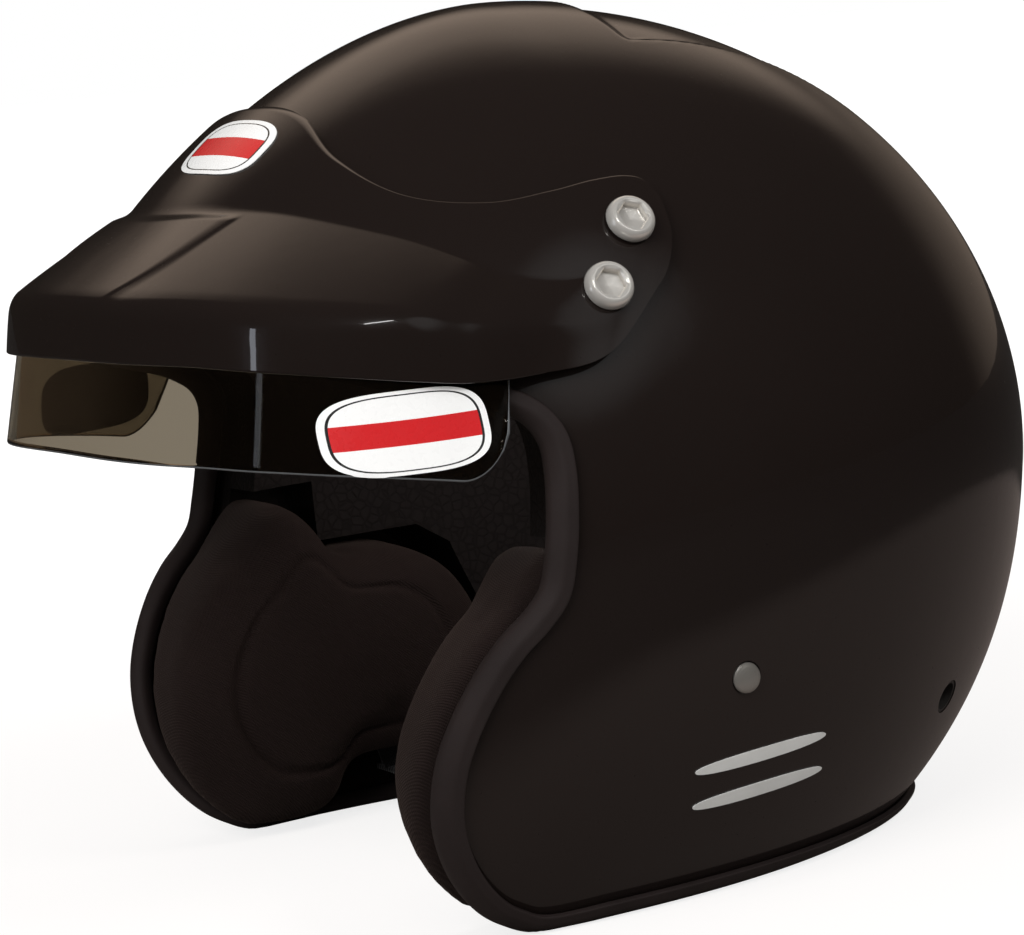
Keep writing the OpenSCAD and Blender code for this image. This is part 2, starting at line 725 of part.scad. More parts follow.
module chin_strap_right() {
    threaded = concat(
        [for (p = drop_path(strap_z)) [-p[0], p[1]]],
        arc([turn_x, strap_z + turn_r], turn_r, -90, 90, 12),
        arc(upper_arc, wrap, 90, 191.4, 8),
        arc(lower_arc, wrap, 11.4, -90, 8),
        [[6, tail_z], [tail_end, tail_z]]);
    color(strap_color)
        in_frame()
            difference() {
                translate([0, strap_y + strap_w / 2, 0])
                    rotate([90, 0, 0])
                        linear_extrude(height = strap_w)
                            polygon(ribbon(threaded, strap_t));
                translate([-12, strap_y, strap_z - 3])
                    cylinder(h = 8, r = 2.3);
            }
}

module d_ring(arc_at) {
    corner = 4;
    half = strap_w / 2 + 1.5 + wire;
    translate([arc_at[0], strap_y, arc_at[1]])
        union() {
            for (m = [0, 1])
                mirror([0, m, 0]) {
                    translate([corner, half - corner, 0])
                        rotate([0, 0, 90])
                            rotate_extrude(angle = 90)
                                translate([corner, 0])
                                    circle(r = wire, $fn = 24);
                    translate([corner, half, 0])
                        rotate([0, 90, 0])
                            cylinder(h = ring_len - corner - wire, r = wire, $fn = 24);
                    translate([ring_len - wire, half - wire, 0])
                        rotate_extrude(angle = 90)
                            translate([wire + eps, 0])
                                circle(r = wire, $fn = 24);
                }
            translate([0, -half + corner, 0])
                rotate([-90, 0, 0])
                    cylinder(h = 2 * (half - corner), r = wire, $fn = 24);
            translate([ring_len, -half + wire, 0])
                rotate([-90, 0, 0])
                    cylinder(h = 2 * (half - wire), r = wire, $fn = 24);
        }
}

module d_ring_upper() {
    color(steel_color)
        in_frame()
            d_ring(upper_arc);
}

module d_ring_lower() {
    color(steel_color)
        in_frame()
            d_ring(lower_arc);
}

module strap_snap() {
    low = strap_z - strap_t / 2;
    high = tail_z + strap_t / 2;
    color(steel_color)
        in_frame()
            translate([-12, strap_y, 0]) {
                translate([0, 0, low - 1.4])
                    cylinder(h = 1.4, r = 5);
                translate([0, 0, low - 0.1])
                    cylinder(h = high - low + 0.2, r = 2.1);
                translate([0, 0, high])
                    rotate_extrude()
                        polygon(concat(
                            [[0, 0]],
                            [for (a = [0 : 15 : 90]) [6 * cos(a), 0.5 + 1.6 * sin(a)]]));
            }
}

// Threaded inserts for the head restraint tethers

module restraint_inserts() {
    color(steel_color)
        in_frame()
            on_shell(insert_a, insert_z)
                difference() {
                    union() {
                        translate([0, 0, thread_end])
                            cylinder(h = -thread_end - 0.4, r = 5);
                        translate([0, 0, -skin - 2.8])
                            cylinder(h = 1.6, r = 6.4);
                    }
                    translate([0, 0, -12])
                        cylinder(h = 14, r = insert_d / 2);
                    translate([0, 0, thread_top])
                        cylinder(h = 6, r = 4.1);
                }
}

// Studs that hold a cheek pad on the foam behind it

module cheek_snap_set() {
    for (s = snap_spots)
        translate([side_x(s[0], s[1], lobe_k), s[0], s[1]])
            rotate([0, 90, 0]) {
                translate([0, 0, 1.2])
                    cylinder(h = 1.5, r = 4);
                translate([0, 0, 2.6])
                    cylinder(h = 3, r = 2);
            }
}

module cheek_snaps_left() {
    color(steel_color)
        in_frame()
            cheek_snap_set();
}

module cheek_snaps_right() {
    color(steel_color)
        in_frame()
            mirror([1, 0, 0])
                cheek_snap_set();
}

outer_shell();
eps_liner();
crown_pad();
brow_pad();
rear_pad();
neck_roll();
cheek_pad_left();
cheek_pad_right();
edge_trim();
peak();
eyeshade();
peak_screws();
peak_spacers();
peak_nuts();
strap_rivets();
strap_anchors();
chin_strap_left();
chin_strap_right();
d_ring_upper();
d_ring_lower();
strap_snap();
restraint_inserts();
cheek_snaps_left();
cheek_snaps_right();
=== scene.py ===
import math

import bmesh
import bpy
import numpy as np
from bpy.props import FloatProperty, FloatVectorProperty, PointerProperty
from mathutils import Matrix, Vector
from mathutils.bvhtree import BVHTree


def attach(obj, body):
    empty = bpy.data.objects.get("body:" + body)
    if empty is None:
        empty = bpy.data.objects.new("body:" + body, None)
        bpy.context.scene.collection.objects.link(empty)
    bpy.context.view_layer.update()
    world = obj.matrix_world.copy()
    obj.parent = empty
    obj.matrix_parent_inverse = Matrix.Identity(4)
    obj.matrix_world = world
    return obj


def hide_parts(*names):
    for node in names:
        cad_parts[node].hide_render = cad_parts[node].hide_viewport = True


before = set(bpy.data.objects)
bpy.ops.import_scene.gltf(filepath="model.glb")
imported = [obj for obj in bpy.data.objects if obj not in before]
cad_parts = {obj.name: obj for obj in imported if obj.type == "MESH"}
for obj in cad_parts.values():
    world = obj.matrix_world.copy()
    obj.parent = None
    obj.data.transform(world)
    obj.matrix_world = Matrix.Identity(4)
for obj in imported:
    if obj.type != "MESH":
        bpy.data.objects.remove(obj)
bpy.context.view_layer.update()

bl_info = {
    "name": "Racing Helmet",
    "version": (1, 0, 0),
    "blender": (4, 5, 0),
    "location": "View3D > Sidebar > Helmet",
    "description": "Builds an open-face racing helmet piece by piece",
    "category": "Add Mesh",
}

# Shapes are worked out in millimetres round the shell's own axis: [angle, height, depth], where
# the angle runs from the wearer's left (0) to the back (90) and the front is -90.
MM = 0.001
MIDDLE_Y = 27.98

# The egg: its widest level, its reach below that, the powers of its curves and its lean
WIDE_Z = 97.0
DROP = 140.0
SIDE_POW = 2.23
UP_POW = 1.88
DOWN_POW = 2.31
LEAN = 0.158

# The level rim, the cut at the brow, the strap's rivets and the foam's lower edge at the back
EDGE_Z = 1.1
BROW_SLOPE = 0.28
STRAP_Y = 20.0
PIVOT_Z = 61.5
REAR_FLOOR = 29.0

# Holes for screws, rivets and inserts, and the room in the foam behind them
HOLE_R = 2.6
RIVET_SEAT_R = 4.6
RIVET_SEAT_DEEP = 0.8
INSERT_R = 5.1
INSERT_SPOT = (103, 37.5)
NUT_ROOM_R = 8
NUT_ROOM_DEEP = 6.5
INSERT_ROOM_R = 8.4
REACH = 12

# The face opening: stations of the brow, then side views of its edge down to the rim
BROW = [(-90, 165), (-79, 164.6), (-68, 163.4), (-57, 161), (-47, 157.6), (-38, 153)]
SIDE_EDGE = [
    (-50, 147.6), (-41, 144.2), (-33, 139.6), (-28.8, 133), (-28.6, 124), (-30.4, 112),
    (-32.6, 102), (-35.2, 94), (-40.4, 88), (-47.4, 82), (-54.4, 73.6), (-60.8, 62.6),
    (-64.8, 51.6), (-66, 40), (-64.4, 29.6), (-60, 19.4), (-53.4, 10.6), (-46, 5),
]

# The peak's rows, each from the front to the ear plate
PEAK_TOP = np.array([
    (-90, 224.5, 0), (-68, 221, 0), (-51, 209, 0), (-35, 198, 0), (-21.5, 194, 0),
    (-11.5, 195, 0), (-4.5, 196.5, 0), (0.5, 196, 0), (2.2, 190, 0),
])
PEAK_CREASE = np.array([
    (-90, 198.5, -0.5), (-73.5, 198.5, -0.5), (-55, 196, -0.5), (-36, 188.5, -0.5),
    (-25, 181, -0.5), (-18, 174, -0.4), (-10, 172, -0.2), (-3, 175, 0), (2.4, 182, 0),
])
PEAK_BRIM = np.array([
    (-90, 178, -14), (-64, 177, -18.4), (-50, 174.5, -21.4), (-40, 172, -21),
    (-31, 169, -18.2), (-24, 165, -11.4), (-14, 161, -3), (-5, 161, -0.2), (1.8, 174.5, 0),
])
PEAK_SKIRT = np.array([
    (-90, 162, -7.4), (-63, 161, -12.4), (-49, 158.5, -16), (-39, 155.7, -16),
    (-30, 152.5, -13.6), (-23, 150, -8.4), (-15, 149.5, -1.6), (-6.5, 152, -0.2),
    (0.8, 167, 0),
])

# The eyeshade's lower edge, its end and the rounding of its corner
SHADE_LOW = np.array([
    (-90, 136.4, -1.4), (-62.4, 135.2, -7.3), (-48, 133.1, -11.4), (-38, 130.7, -12.3),
    (-28.7, 127.7, -10.6), (-22.7, 125.3, -8.3), (-17.6, 123.2, -5.9),
])
SHADE_END = 5.56
SHADE_TURN = 4.75
SHADE_CORNER = 13.0
SHADE_GAP = 0.6
SHADE_TOP = 0.62

# Angle and height of the peak's screws
SCREW_SPOTS = [(-1.45, 182.5), (-5.7, 167)]

# A cheek pad's outline, seen from the side
CHEEK_TOP = 103.0
CHEEK_OUTLINE = [(y - 1.2, max(z, 5)) for y, z in SIDE_EDGE if z < CHEEK_TOP - 5] + [
    (-36, 3.6), (-25, 3.6), (-18, 6), (-14, 11), (-10, 15.6), (-3, 17.6), (18, 18), (31, 20),
    (38, 26.5), (41, 38), (40.5, 52), (37, 65), (30, 76), (19, 82.5), (6, 84), (-4, 85.2),
    (-8.5, 89), (-13, 94.5), (-18, CHEEK_TOP - 3.5), (-23, CHEEK_TOP - 0.8),
    (-29, CHEEK_TOP - 1.6),
]
CHEEK_MID = np.array((-8.0, 50.0))


# Sizes and colours

def length(label, text, value):
    """A length property with its default in millimetres."""
    return FloatProperty(
        name=label, description=text, default=value * MM, min=0, unit="LENGTH", precision=4)


def colour(label, text, value):
    """A colour property in linear light."""
    return FloatVectorProperty(
        name=label, description=text, default=value, min=0, max=1, size=3, subtype="COLOR")


class HelmetSizes(bpy.types.PropertyGroup):
    """Sizes of the helmet's pieces."""

    shell_width: length("Shell width", "Widest width of the outer shell", 250)
    shell_front: length("Front reach", "Reach of the shell from its axis to the front", 130)
    shell_rear: length("Rear reach", "Reach of the shell from its axis to the back", 174)
    crown_rise: length("Crown rise", "Height of the crown over the widest level", 150)
    skin: length("Skin", "Thickness of the outer shell", 3.2)
    dish_depth: length("Crown dish", "Depth of the shallow panel sunk in the crown", 1.8)
    foam: length("Foam", "Thickness of the moulded liner", 26)
    padding: length("Padding", "Thickness of the comfort padding", 11)
    cheek_depth: length("Cheek pad", "Thickness of a cheek pad at its middle", 38)
    trim_lip: length("Trim lip", "How far the trim's lips reach over the shell", 4.6)
    trim_wall: length("Trim wall", "Thickness of the trim's rubber", 1.7)
    peak_wall: length("Peak wall", "Thickness of the peak", 2.2)
    peak_gap: length("Peak gap", "Gap between the peak and the shell", 1.5)
    panel_rise: length("Peak panel", "Height of the raised panel on the peak", 1.6)
    shade_wall: length("Eyeshade wall", "Thickness of the smoked sheet", 1.0)
    head_d: length("Screw head", "Diameter of a button-head screw", 13.6)
    hex_flats: length("Hexagon", "Width across the flats of the socket", 7.4)
    strap_w: length("Strap width", "Width of the webbing", 22)
    strap_t: length("Strap thickness", "Thickness of the webbing", 1.8)


class HelmetColours(bpy.types.PropertyGroup):
    """Colours of the helmet's pieces."""

    paint: colour("Paint", "Gloss paint of the shell and the peak", (0.0085, 0.0058, 0.0050))
    rubber: colour("Rubber", "Trim round the edge of the shell", (0.0145, 0.0105, 0.0100))
    cloth: colour("Lining", "Knit over the padding", (0.0115, 0.0072, 0.0064))
    foam: colour("Foam", "Moulded bead foam", (0.0085, 0.0065, 0.006))
    smoke: colour("Smoke", "Tint of the eyeshade", (0.19, 0.162, 0.12))
    steel: colour("Steel", "Rivets and rings", (0.84, 0.82, 0.78))
    screw: colour("Peak screws", "Bright satin steel", (0.92, 0.89, 0.84))
    webbing: colour("Webbing", "Chin strap", (0.016, 0.016, 0.018))
    label: colour("Label", "Ground of the labels", (0.84, 0.84, 0.83))
    band: colour("Label band", "Band across the labels", (0.56, 0.012, 0.015))


# The shell's surface

def signed_power(v, e):
    """A power that keeps the sign."""
    return np.sign(v) * np.abs(v) ** e


def smooth(t):
    """A soft step from 0 to 1."""
    c = np.clip(t, 0, 1)
    return c * c * (3 - 2 * c)


def mixed(a, b, t):
    """A value between two."""
    return a + (b - a) * t


def unit(v):
    """Vectors of length one."""
    return v / np.linalg.norm(v, axis=-1, keepdims=True)


class Form:
    """Every size in millimetres, and the egg that the shell and what lies on it follow."""

    def __init__(self, context):
        sizes = context.scene.helmet_sizes
        for key in HelmetSizes.__annotations__:
            setattr(self, key, getattr(sizes, key) / MM)
        self.half = self.shell_width / 2
        self.liner_k = self.skin + 0.3
        self.cavity_k = self.liner_k + self.foam
        self.pad_k = self.cavity_k + 1.2
        self.lobe_k = 11.5
        self.cheek_k = self.lobe_k + 0.8
        self.peak_out = -self.peak_gap - self.peak_wall

    def waist(self, z, k):
        """Share of its full width that the egg has at a height."""
        up = z > WIDE_Z
        power = np.where(up, UP_POW, DOWN_POW)
        t = np.abs(z - WIDE_Z) / (np.where(up, self.crown_rise, DROP) - k)
        return np.maximum(0, 1 - np.minimum(t, 1) ** power) ** (1 / power)

    def egg(self, a, z, k=0.0):
        """The point of the surface k deep at an angle and a height."""
        a, z, k = np.broadcast_arrays(np.radians(a), np.asarray(z, float), k)
        s = self.waist(z, k)
        reach = np.where(np.sin(a) < 0, self.shell_front, self.shell_rear) - k
        x = (self.half - k) * s * signed_power(np.cos(a), 2 / SIDE_POW)
        y = reach * s * signed_power(np.sin(a), 2 / SIDE_POW) + LEAN * (z - WIDE_Z)
        return np.stack([x, y, z], -1)

    def lift(self, p, k=0.0):
        """Points from rows of angle, height and depth."""
        return self.egg(p[..., 0], p[..., 1], p[..., 2] + k)

    def normal(self, a, z):
        """Direction straight out of the surface."""
        d = 0.05
        return unit(np.cross(self.egg(a + d, z) - self.egg(a - d, z),
                             self.egg(a, z + d) - self.egg(a, z - d)))

    def angle_at(self, y, z):
        """Angle of the surface point with this side view."""
        yy = y - LEAN * (z - WIDE_Z)
        reach = np.where(yy < 0, self.shell_front, self.shell_rear)
        r = np.minimum(np.abs(yy) / (reach * self.waist(z, 0)), 1) ** (SIDE_POW / 2)
        return np.sign(yy) * np.degrees(np.arcsin(r))

    def side_x(self, y, z, k):
        """Distance of the surface from the middle plane."""
        yy = y - LEAN * (z - WIDE_Z)
        reach = np.where(yy < 0, self.shell_front, self.shell_rear) - k
        v = self.waist(z, k) ** SIDE_POW - (np.abs(yy) / reach) ** SIDE_POW
        return (self.half - k) * np.maximum(v, 0) ** (1 / SIDE_POW)

    def bowl(self, k, sides, low_rows, top_rows):
        """Rings of the egg k deep, from just under the ground to the crown."""
        low = np.linspace(-4, WIDE_Z, low_rows, endpoint=False)
        if WIDE_Z + 4 > 0.985 * (DROP - k):
            low = np.linspace(WIDE_Z - 0.985 * (DROP - k), WIDE_Z, low_rows, endpoint=False)
        turn = np.radians(np.linspace(0, 89.5, top_rows))
        top = WIDE_Z + (self.crown_rise - k) * np.sin(turn) ** (2 / UP_POW)
        a, z = np.meshgrid(np.arange(sides) * 360 / sides, np.concatenate([low, top]))
        return self.egg(a, z, k)


def dish(p):
    """The panel sunk in the crown: 1 inside, 0 outside."""
    along_y = smooth((p[..., 1] - 44) / 4.5) * smooth((128 - p[..., 1]) / 16)
    half = 49 - 0.12 * (p[..., 1] - 42)
    return along_y * smooth((half - np.abs(p[..., 0])) / 4) * smooth((p[..., 2] - 150) / 30)


def spline(points, steps, closed=False):
    """Points on a smooth curve through the given ones."""
    p = np.asarray(points, float)
    n = len(p)
    if closed:
        q = np.vstack([p[-1], p, p[0], p[1]])
        spans = n
    else:
        q = np.vstack([2 * p[0] - p[1], p, 2 * p[-1] - p[-2]])
        spans = n - 1
    out = []
    for i in range(spans):
        a, b, c, d = q[i], q[i + 1], q[i + 2], q[i + 3]
        for t in np.arange(steps) / steps:
            out.append(0.5 * (2 * b + (c - a) * t + (2 * a - 5 * b + 4 * c - d) * t * t
                              + (3 * b - a - 3 * c + d) * t ** 3))
    if not closed:
        out.append(p[-1])
    return np.array(out)


# Meshes

def to_frame(points):
    """Points in metres, in the frame that every piece shares."""
    return (np.asarray(points, float) - (0, MIDDLE_Y, 0)) * MM


def from_frame(points):
    """Points back in millimetres, as the shapes are worked out."""
    return np.asarray(points, float) / MM + (0, MIDDLE_Y, 0)


def read_points(mesh, field="co"):
    """A mesh's points, or its normals, as rows of three."""
    out = np.zeros(len(mesh.vertices) * 3)
    mesh.vertices.foreach_get(field, out)
    return out.reshape(-1, 3)


def write_points(mesh, points):
    """Moves a mesh's points, given in metres."""
    mesh.vertices.foreach_set("co", points.ravel())
    mesh.update()


def grid_faces(rows, cols, wrap_cols=False, wrap_rows=False, start=0, flip=False):
    """Four-sided faces of a grid whose points run row by row."""
    i, j = np.meshgrid(np.arange(rows - (not wrap_rows)), np.arange(cols - (not wrap_cols)),
                       indexing="ij")
    i2, j2 = (i + 1) % rows, (j + 1) % cols
    quads = np.stack([i * cols + j, i * cols + j2, i2 * cols + j2, i2 * cols + j], -1)
    quads = quads.reshape(-1, 4) + start
    return (quads[:, ::-1] if flip else quads).tolist()


def ring_solid(rings):
    """A closed solid from rings of equal length, the first and last capped."""
    rings = np.asarray(rings, float)
    rows, cols = rings.shape[:2]
    faces = grid_faces(rows, cols, wrap_cols=True)
    faces.append(list(range(cols))[::-1])
    faces.append([(rows - 1) * cols + i for i in range(cols)])
    return rings.reshape(-1, 3), faces


def double_wall(rows, cols):
    """Faces of two nested grids of rings, capped at the last ring and joined at the first."""
    n = rows * cols
    last = n - cols
    faces = grid_faces(rows, cols, True) + grid_faces(rows, cols, True, start=n, flip=True)
    faces.append([last + i for i in range(cols)])
    faces.append([n + last + i for i in range(cols)][::-1])
    for i in range(cols):
        j = (i + 1) % cols
        faces.append([j, i, n + i, n + j])
    return faces


def border(rows, cols):
    """Indices round a grid's border, in order."""
    top = [(0, j) for j in range(cols)]
    right = [(i, cols - 1) for i in range(1, rows)]
    low = [(rows - 1, j) for j in range(cols - 2, -1, -1)]
    left = [(i, 0) for i in range(rows - 2, 0, -1)]
    return top + right + low + left


def sheet_solid(outer, inner, steps=4):
    """A sheet between two grids, its border rounded over."""
    outer, inner = np.array(outer, float), np.array(inner, float)
    rows, cols = outer.shape[:2]
    loop = border(rows, cols)
    rim = []
    mid = (outer + inner) / 2
    for i, j in loop:
        inward = mid[min(max(i, 1), rows - 2), min(max(j, 1), cols - 2)] - mid[i, j]
        across = (outer[i, j] - inner[i, j]) / 2
        r = min(np.linalg.norm(across), 0.6 * np.linalg.norm(inward))
        step = inward / np.linalg.norm(inward) * r
        rim.append([mid[i, j] + step + across * math.cos(t) - step * math.sin(t)
                    for t in np.linspace(0, math.pi, steps + 1)])
    rim = np.array(rim)
    for (i, j), r in zip(loop, rim):
        outer[i, j] = r[0]
        inner[i, j] = r[-1]
    points = [outer.reshape(-1, 3), inner.reshape(-1, 3), rim[:, 1:-1].reshape(-1, 3)]
    n = rows * cols
    faces = grid_faces(rows, cols) + grid_faces(rows, cols, start=n, flip=True)
    m = len(loop)
    wide = steps - 1

    def at(c, t):
        i, j = loop[c % m]
        if t == 0:
            return i * cols + j
        if t == steps:
            return n + i * cols + j
        return 2 * n + (c % m) * wide + t - 1

    for c in range(m):
        for t in range(steps):
            faces.append([at(c, t), at(c, t + 1), at(c + 1, t + 1), at(c + 1, t)])
    return np.vstack(points), faces


def make(name, points, faces, material, sharp=None):
    """A mesh object from points in millimetres, its faces turned outward."""
    mesh = bpy.data.meshes.new(name)
    mesh.from_pydata(to_frame(points).tolist(), [], faces)
    work = bmesh.new()
    work.from_mesh(mesh)
    bmesh.ops.recalc_face_normals(work, faces=work.faces)
    work.to_mesh(mesh)
    work.free()
    mesh.shade_smooth()
    if sharp:
        mesh.set_sharp_from_angle(angle=math.radians(sharp))
    mesh.materials.append(material)
    obj = bpy.data.objects.new(name, mesh)
    bpy.context.scene.collection.objects.link(obj)
    return obj


def evaluated(obj):
    """The object's mesh with its modifiers applied."""
    bpy.context.view_layer.update()
    graph = bpy.context.evaluated_depsgraph_get()
    mesh = bpy.data.meshes.new_from_object(obj.evaluated_get(graph), depsgraph=graph)
    mesh.name = obj.name
    return mesh


def apply_modifiers(obj):
    """Turns an object's modifiers into its mesh."""
    obj.data = evaluated(obj)
    obj.modifiers.clear()
    return obj.data


def carve(obj, tools, operation="DIFFERENCE"):
    """Applies the tools to a solid and deletes them."""
    for tool in tools:
        mod = obj.modifiers.new("Cut", "BOOLEAN")
        mod.operation = operation
        mod.solver = "MANIFOLD"
        mod.object = tool
    mesh = apply_modifiers(obj)
    for tool in tools:
        bpy.data.objects.remove(tool)
    return mesh


def cut(obj, cutters, sharp=38):
    """Takes the cutters out of a solid and keeps its edges sharp."""
    before = len(obj.data.polygons)
    mesh = carve(obj, cutters)
    if len(mesh.polygons) < 0.2 * before:
        raise RuntimeError(f"cutting {obj.name} lost its shape")
    mesh.shade_smooth()
    mesh.set_sharp_from_angle(angle=math.radians(sharp))


def prism(outline, half=190.0):
    """A cutter with the given side view, right across the helmet."""
    p = np.asarray(outline, float)
    rings = [np.column_stack([np.full(len(p), x), p]) for x in (-half, half)]
    return make("cutter", *ring_solid(rings), None)


def block(low, high):
    """A box-shaped cutter between two corners."""
    x = np.array([(low[0], low[1]), (high[0], low[1]), (high[0], high[1]), (low[0], high[1])])
    rings = [np.column_stack([x, np.full(4, z)]) for z in (low[2], high[2])]
    return make("cutter", *ring_solid(rings), None)


def turned(profile, sides, origin, axis, twist=0.0):
    """Rings of a turned shape from radius and height; a radius may vary with the angle."""
    axis = unit(np.asarray(axis, float))
    tilt = math.acos(max(-1.0, min(1.0, axis[2])))
    spin = math.atan2(axis[1], axis[0])
    turn = np.array(Matrix.Rotation(spin, 3, "Z") @ Matrix.Rotation(tilt, 3, "Y"))
    a = np.radians(np.arange(sides) * 360 / sides + twist)
    rings = []
    for radius, height in profile:
        r = radius(a) if callable(radius) else np.full(sides, radius)
        local = np.stack([r * np.cos(a), r * np.sin(a), np.full(sides, height)], -1)
        rings.append(local @ turn.T + np.asarray(origin, float))
    return np.array(rings)


def drill(radius, low, high, origin, axis, sides=48):
    """A round cutter along an axis, between two heights over its origin."""
    rings = turned([(radius, low), (radius, high)], sides, origin, axis)
    return make("cutter", *ring_solid(rings), None)


def joined(name, parts, material, sharp=None):
    """One object from several lists of points and faces."""
    points, faces, start = [], [], 0
    for p, f in parts:
        points.append(p)
        faces += [[i + start for i in face] for face in f]
        start += len(p)
    return make(name, np.vstack(points), faces, material, sharp)


def both(parts):
    """The parts and their mirror images."""
    return parts + [(p * (-1, 1, 1), [f[::-1] for f in faces]) for p, faces in parts]


def settle(obj, nodes=(), body="helmet"):
    """Finishes a piece: hides the parts it stands for and ties it to what it moves with."""
    if nodes:
        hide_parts(*nodes)
    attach(obj, body)
    return obj


# Finishes

class Wiring:
    """Short ways to wire up a node tree."""

    def __init__(self, tree):
        self.tree = tree

    def node(self, kind, settings=None, **inputs):
        n = self.tree.nodes.new(kind)
        for key, value in (settings or {}).items():
            setattr(n, key, value)
        for key, value in inputs.items():
            self.put(n.inputs[key.replace("_", " ")], value)
        return n

    def put(self, socket, value):
        if isinstance(value, bpy.types.NodeSocket):
            self.tree.links.new(value, socket)
        elif socket.type == "RGBA" and len(value) == 3:
            socket.default_value = (*value, 1)
        else:
            socket.default_value = value

    def pair(self, n, a, b):
        """Fills a node's first two sockets."""
        self.put(n.inputs[0], a)
        self.put(n.inputs[1], b)
        return n

    def math(self, kind, a, b=0.0, clamp=False):
        n = self.node("ShaderNodeMath", {"operation": kind, "use_clamp": clamp})
        return self.pair(n, a, b).outputs[0]

    def vector_math(self, kind, a, b=(0, 0, 0)):
        """The results of a step on vectors."""
        return self.pair(self.node("ShaderNodeVectorMath", {"operation": kind}), a, b).outputs

    def between(self, low, high, fac):
        """A number that runs from low to high with a factor."""
        n = self.node("ShaderNodeMapRange", Value=fac, To_Min=low, To_Max=high)
        return n.outputs[0]

    def ramp(self, value, low, high, start=0.0, end=1.0):
        """A soft step from start to end while the value runs from low to high."""
        n = self.node("ShaderNodeMapRange", {"interpolation_type": "SMOOTHSTEP"}, Value=value,
                      From_Min=low, From_Max=high, To_Min=start, To_Max=end)
        return n.outputs[0]

    def mix(self, kind, first, fac, a, b):
        n = self.node("ShaderNodeMix", {"data_type": kind})
        self.put(n.inputs[0], fac)
        self.put(n.inputs[first], a)
        self.put(n.inputs[first + 1], b)
        return n

    def tint(self, fac, a, b):
        """A colour between two."""
        return self.mix("RGBA", 6, fac, a, b).outputs[2]

    def level(self, fac, a, b):
        """A number between two."""
        return self.mix("FLOAT", 2, fac, a, b).outputs[0]


class Finish(Wiring):
    """A material being wired up round one Principled shader."""

    def __init__(self, name):
        self.material = bpy.data.materials.new(name)
        self.material.use_nodes = True
        super().__init__(self.material.node_tree)
        self.shader = self.tree.nodes["Principled BSDF"]
        self.output = self.tree.nodes["Material Output"]
        self.place = self.node("ShaderNodeTexCoord").outputs["Object"]

    def set(self, **inputs):
        """Fills the shader's sockets and hands the material over."""
        for key, value in inputs.items():
            self.put(self.shader.inputs[key.replace("_", " ")], value)
        return self.material

    def noise(self, scale, detail=3.0, rough=0.5):
        n = self.node("ShaderNodeTexNoise", Vector=self.place, Scale=scale, Detail=detail,
                      Roughness=rough)
        return n.outputs["Fac"]

    def cells(self, scale, feature="F1"):
        n = self.node("ShaderNodeTexVoronoi", {"feature": feature}, Vector=self.place, Scale=scale)
        return n.outputs["Distance"]

    def bands(self, direction, place, scale, distortion, detail_scale):
        n = self.node("ShaderNodeTexWave", {"wave_type": "BANDS", "bands_direction": direction,
                                            "wave_profile": "SIN"},
                      Vector=place, Scale=scale, Distortion=distortion, Detail=1.0,
                      Detail_Scale=detail_scale)
        return n.outputs["Fac"]

    def bump(self, height, distance, strength=1.0, under=None):
        n = self.node("ShaderNodeBump", Height=height, Distance=distance, Strength=strength)
        if under is not None:
            self.put(n.inputs["Normal"], under)
        return n.outputs[0]


def scaled_colour(c, k):
    """A darker or lighter colour of the same hue."""
    return tuple(min(1.0, x * k) for x in c)


def paint_finish(name, c):
    """Gloss paint under a clear coat, with a faint fleck and orange peel."""
    f = Finish(name)
    broad = f.noise(9, 2)
    fleck = f.cells(2600)
    spark = f.node("ShaderNodeMapRange", Value=fleck, From_Min=0.0, From_Max=0.18,
                   To_Min=1.0, To_Max=0.0).outputs[0]
    base = f.tint(broad, c, scaled_colour(c, 1.35))
    base = f.tint(f.math("MULTIPLY", spark, 0.05), base, (0.10, 0.075, 0.055))
    peel = f.bump(f.noise(170, 2, 0.4), 0.00002)
    dust = f.noise(900, 2)
    f.put(f.shader.inputs["Coat Normal"], peel)
    return f.set(Base_Color=base, Roughness=f.between(0.2, 0.3, dust), Normal=peel,
                 Coat_Weight=1.0, Coat_Roughness=0.03, Coat_IOR=1.45, Specular_IOR_Level=0.15)


def rubber_finish(name, c):
    """Dull rubber with a fine grain over slow dents."""
    f = Finish(name)
    base = f.tint(f.noise(60, 4), c, scaled_colour(c, 1.7))
    grain = f.bump(f.noise(3500, 2), 0.00012, 0.6, f.bump(f.noise(220, 3), 0.0002, 0.35))
    return f.set(Base_Color=base, Roughness=f.between(0.46, 0.62, f.noise(400, 2)), Normal=grain,
                 Specular_IOR_Level=0.3)


def knit_finish(name, c):
    """A fine rib knit: slanting cords with loops along them."""
    f = Finish(name)
    slant = f.node("ShaderNodeMapping", Vector=f.place)
    slant.inputs["Rotation"].default_value = (0.75, 0.35, 0.5)
    cord = f.bands("Z", slant.outputs[0], 500.0, 0.6, 1.5)
    loop = f.bands("Y", slant.outputs[0], 640.0, 0.8, 2.0)
    height = f.math("ADD", cord, f.math("MULTIPLY", loop, 0.45))
    height = f.math("ADD", height, f.math("MULTIPLY", f.noise(2600, 3, 0.7), 0.5))
    patch = f.between(0.0, 1.0, f.noise(22, 3))
    base = f.tint(patch, scaled_colour(c, 0.8), scaled_colour(c, 1.35))
    # Raised cords are painted lighter as a painted highlight, which leaves painted shade in the
    # grooves between them.
    base = f.tint(f.math("MULTIPLY", cord, 0.4), base, scaled_colour(c, 1.9))
    return f.set(Base_Color=base, Roughness=0.86, Normal=f.bump(height, 0.00025, 0.7),
                 Sheen_Weight=0.1, Sheen_Roughness=0.45, Sheen_Tint=(0.5, 0.36, 0.3, 1),
                 Specular_IOR_Level=0.2)


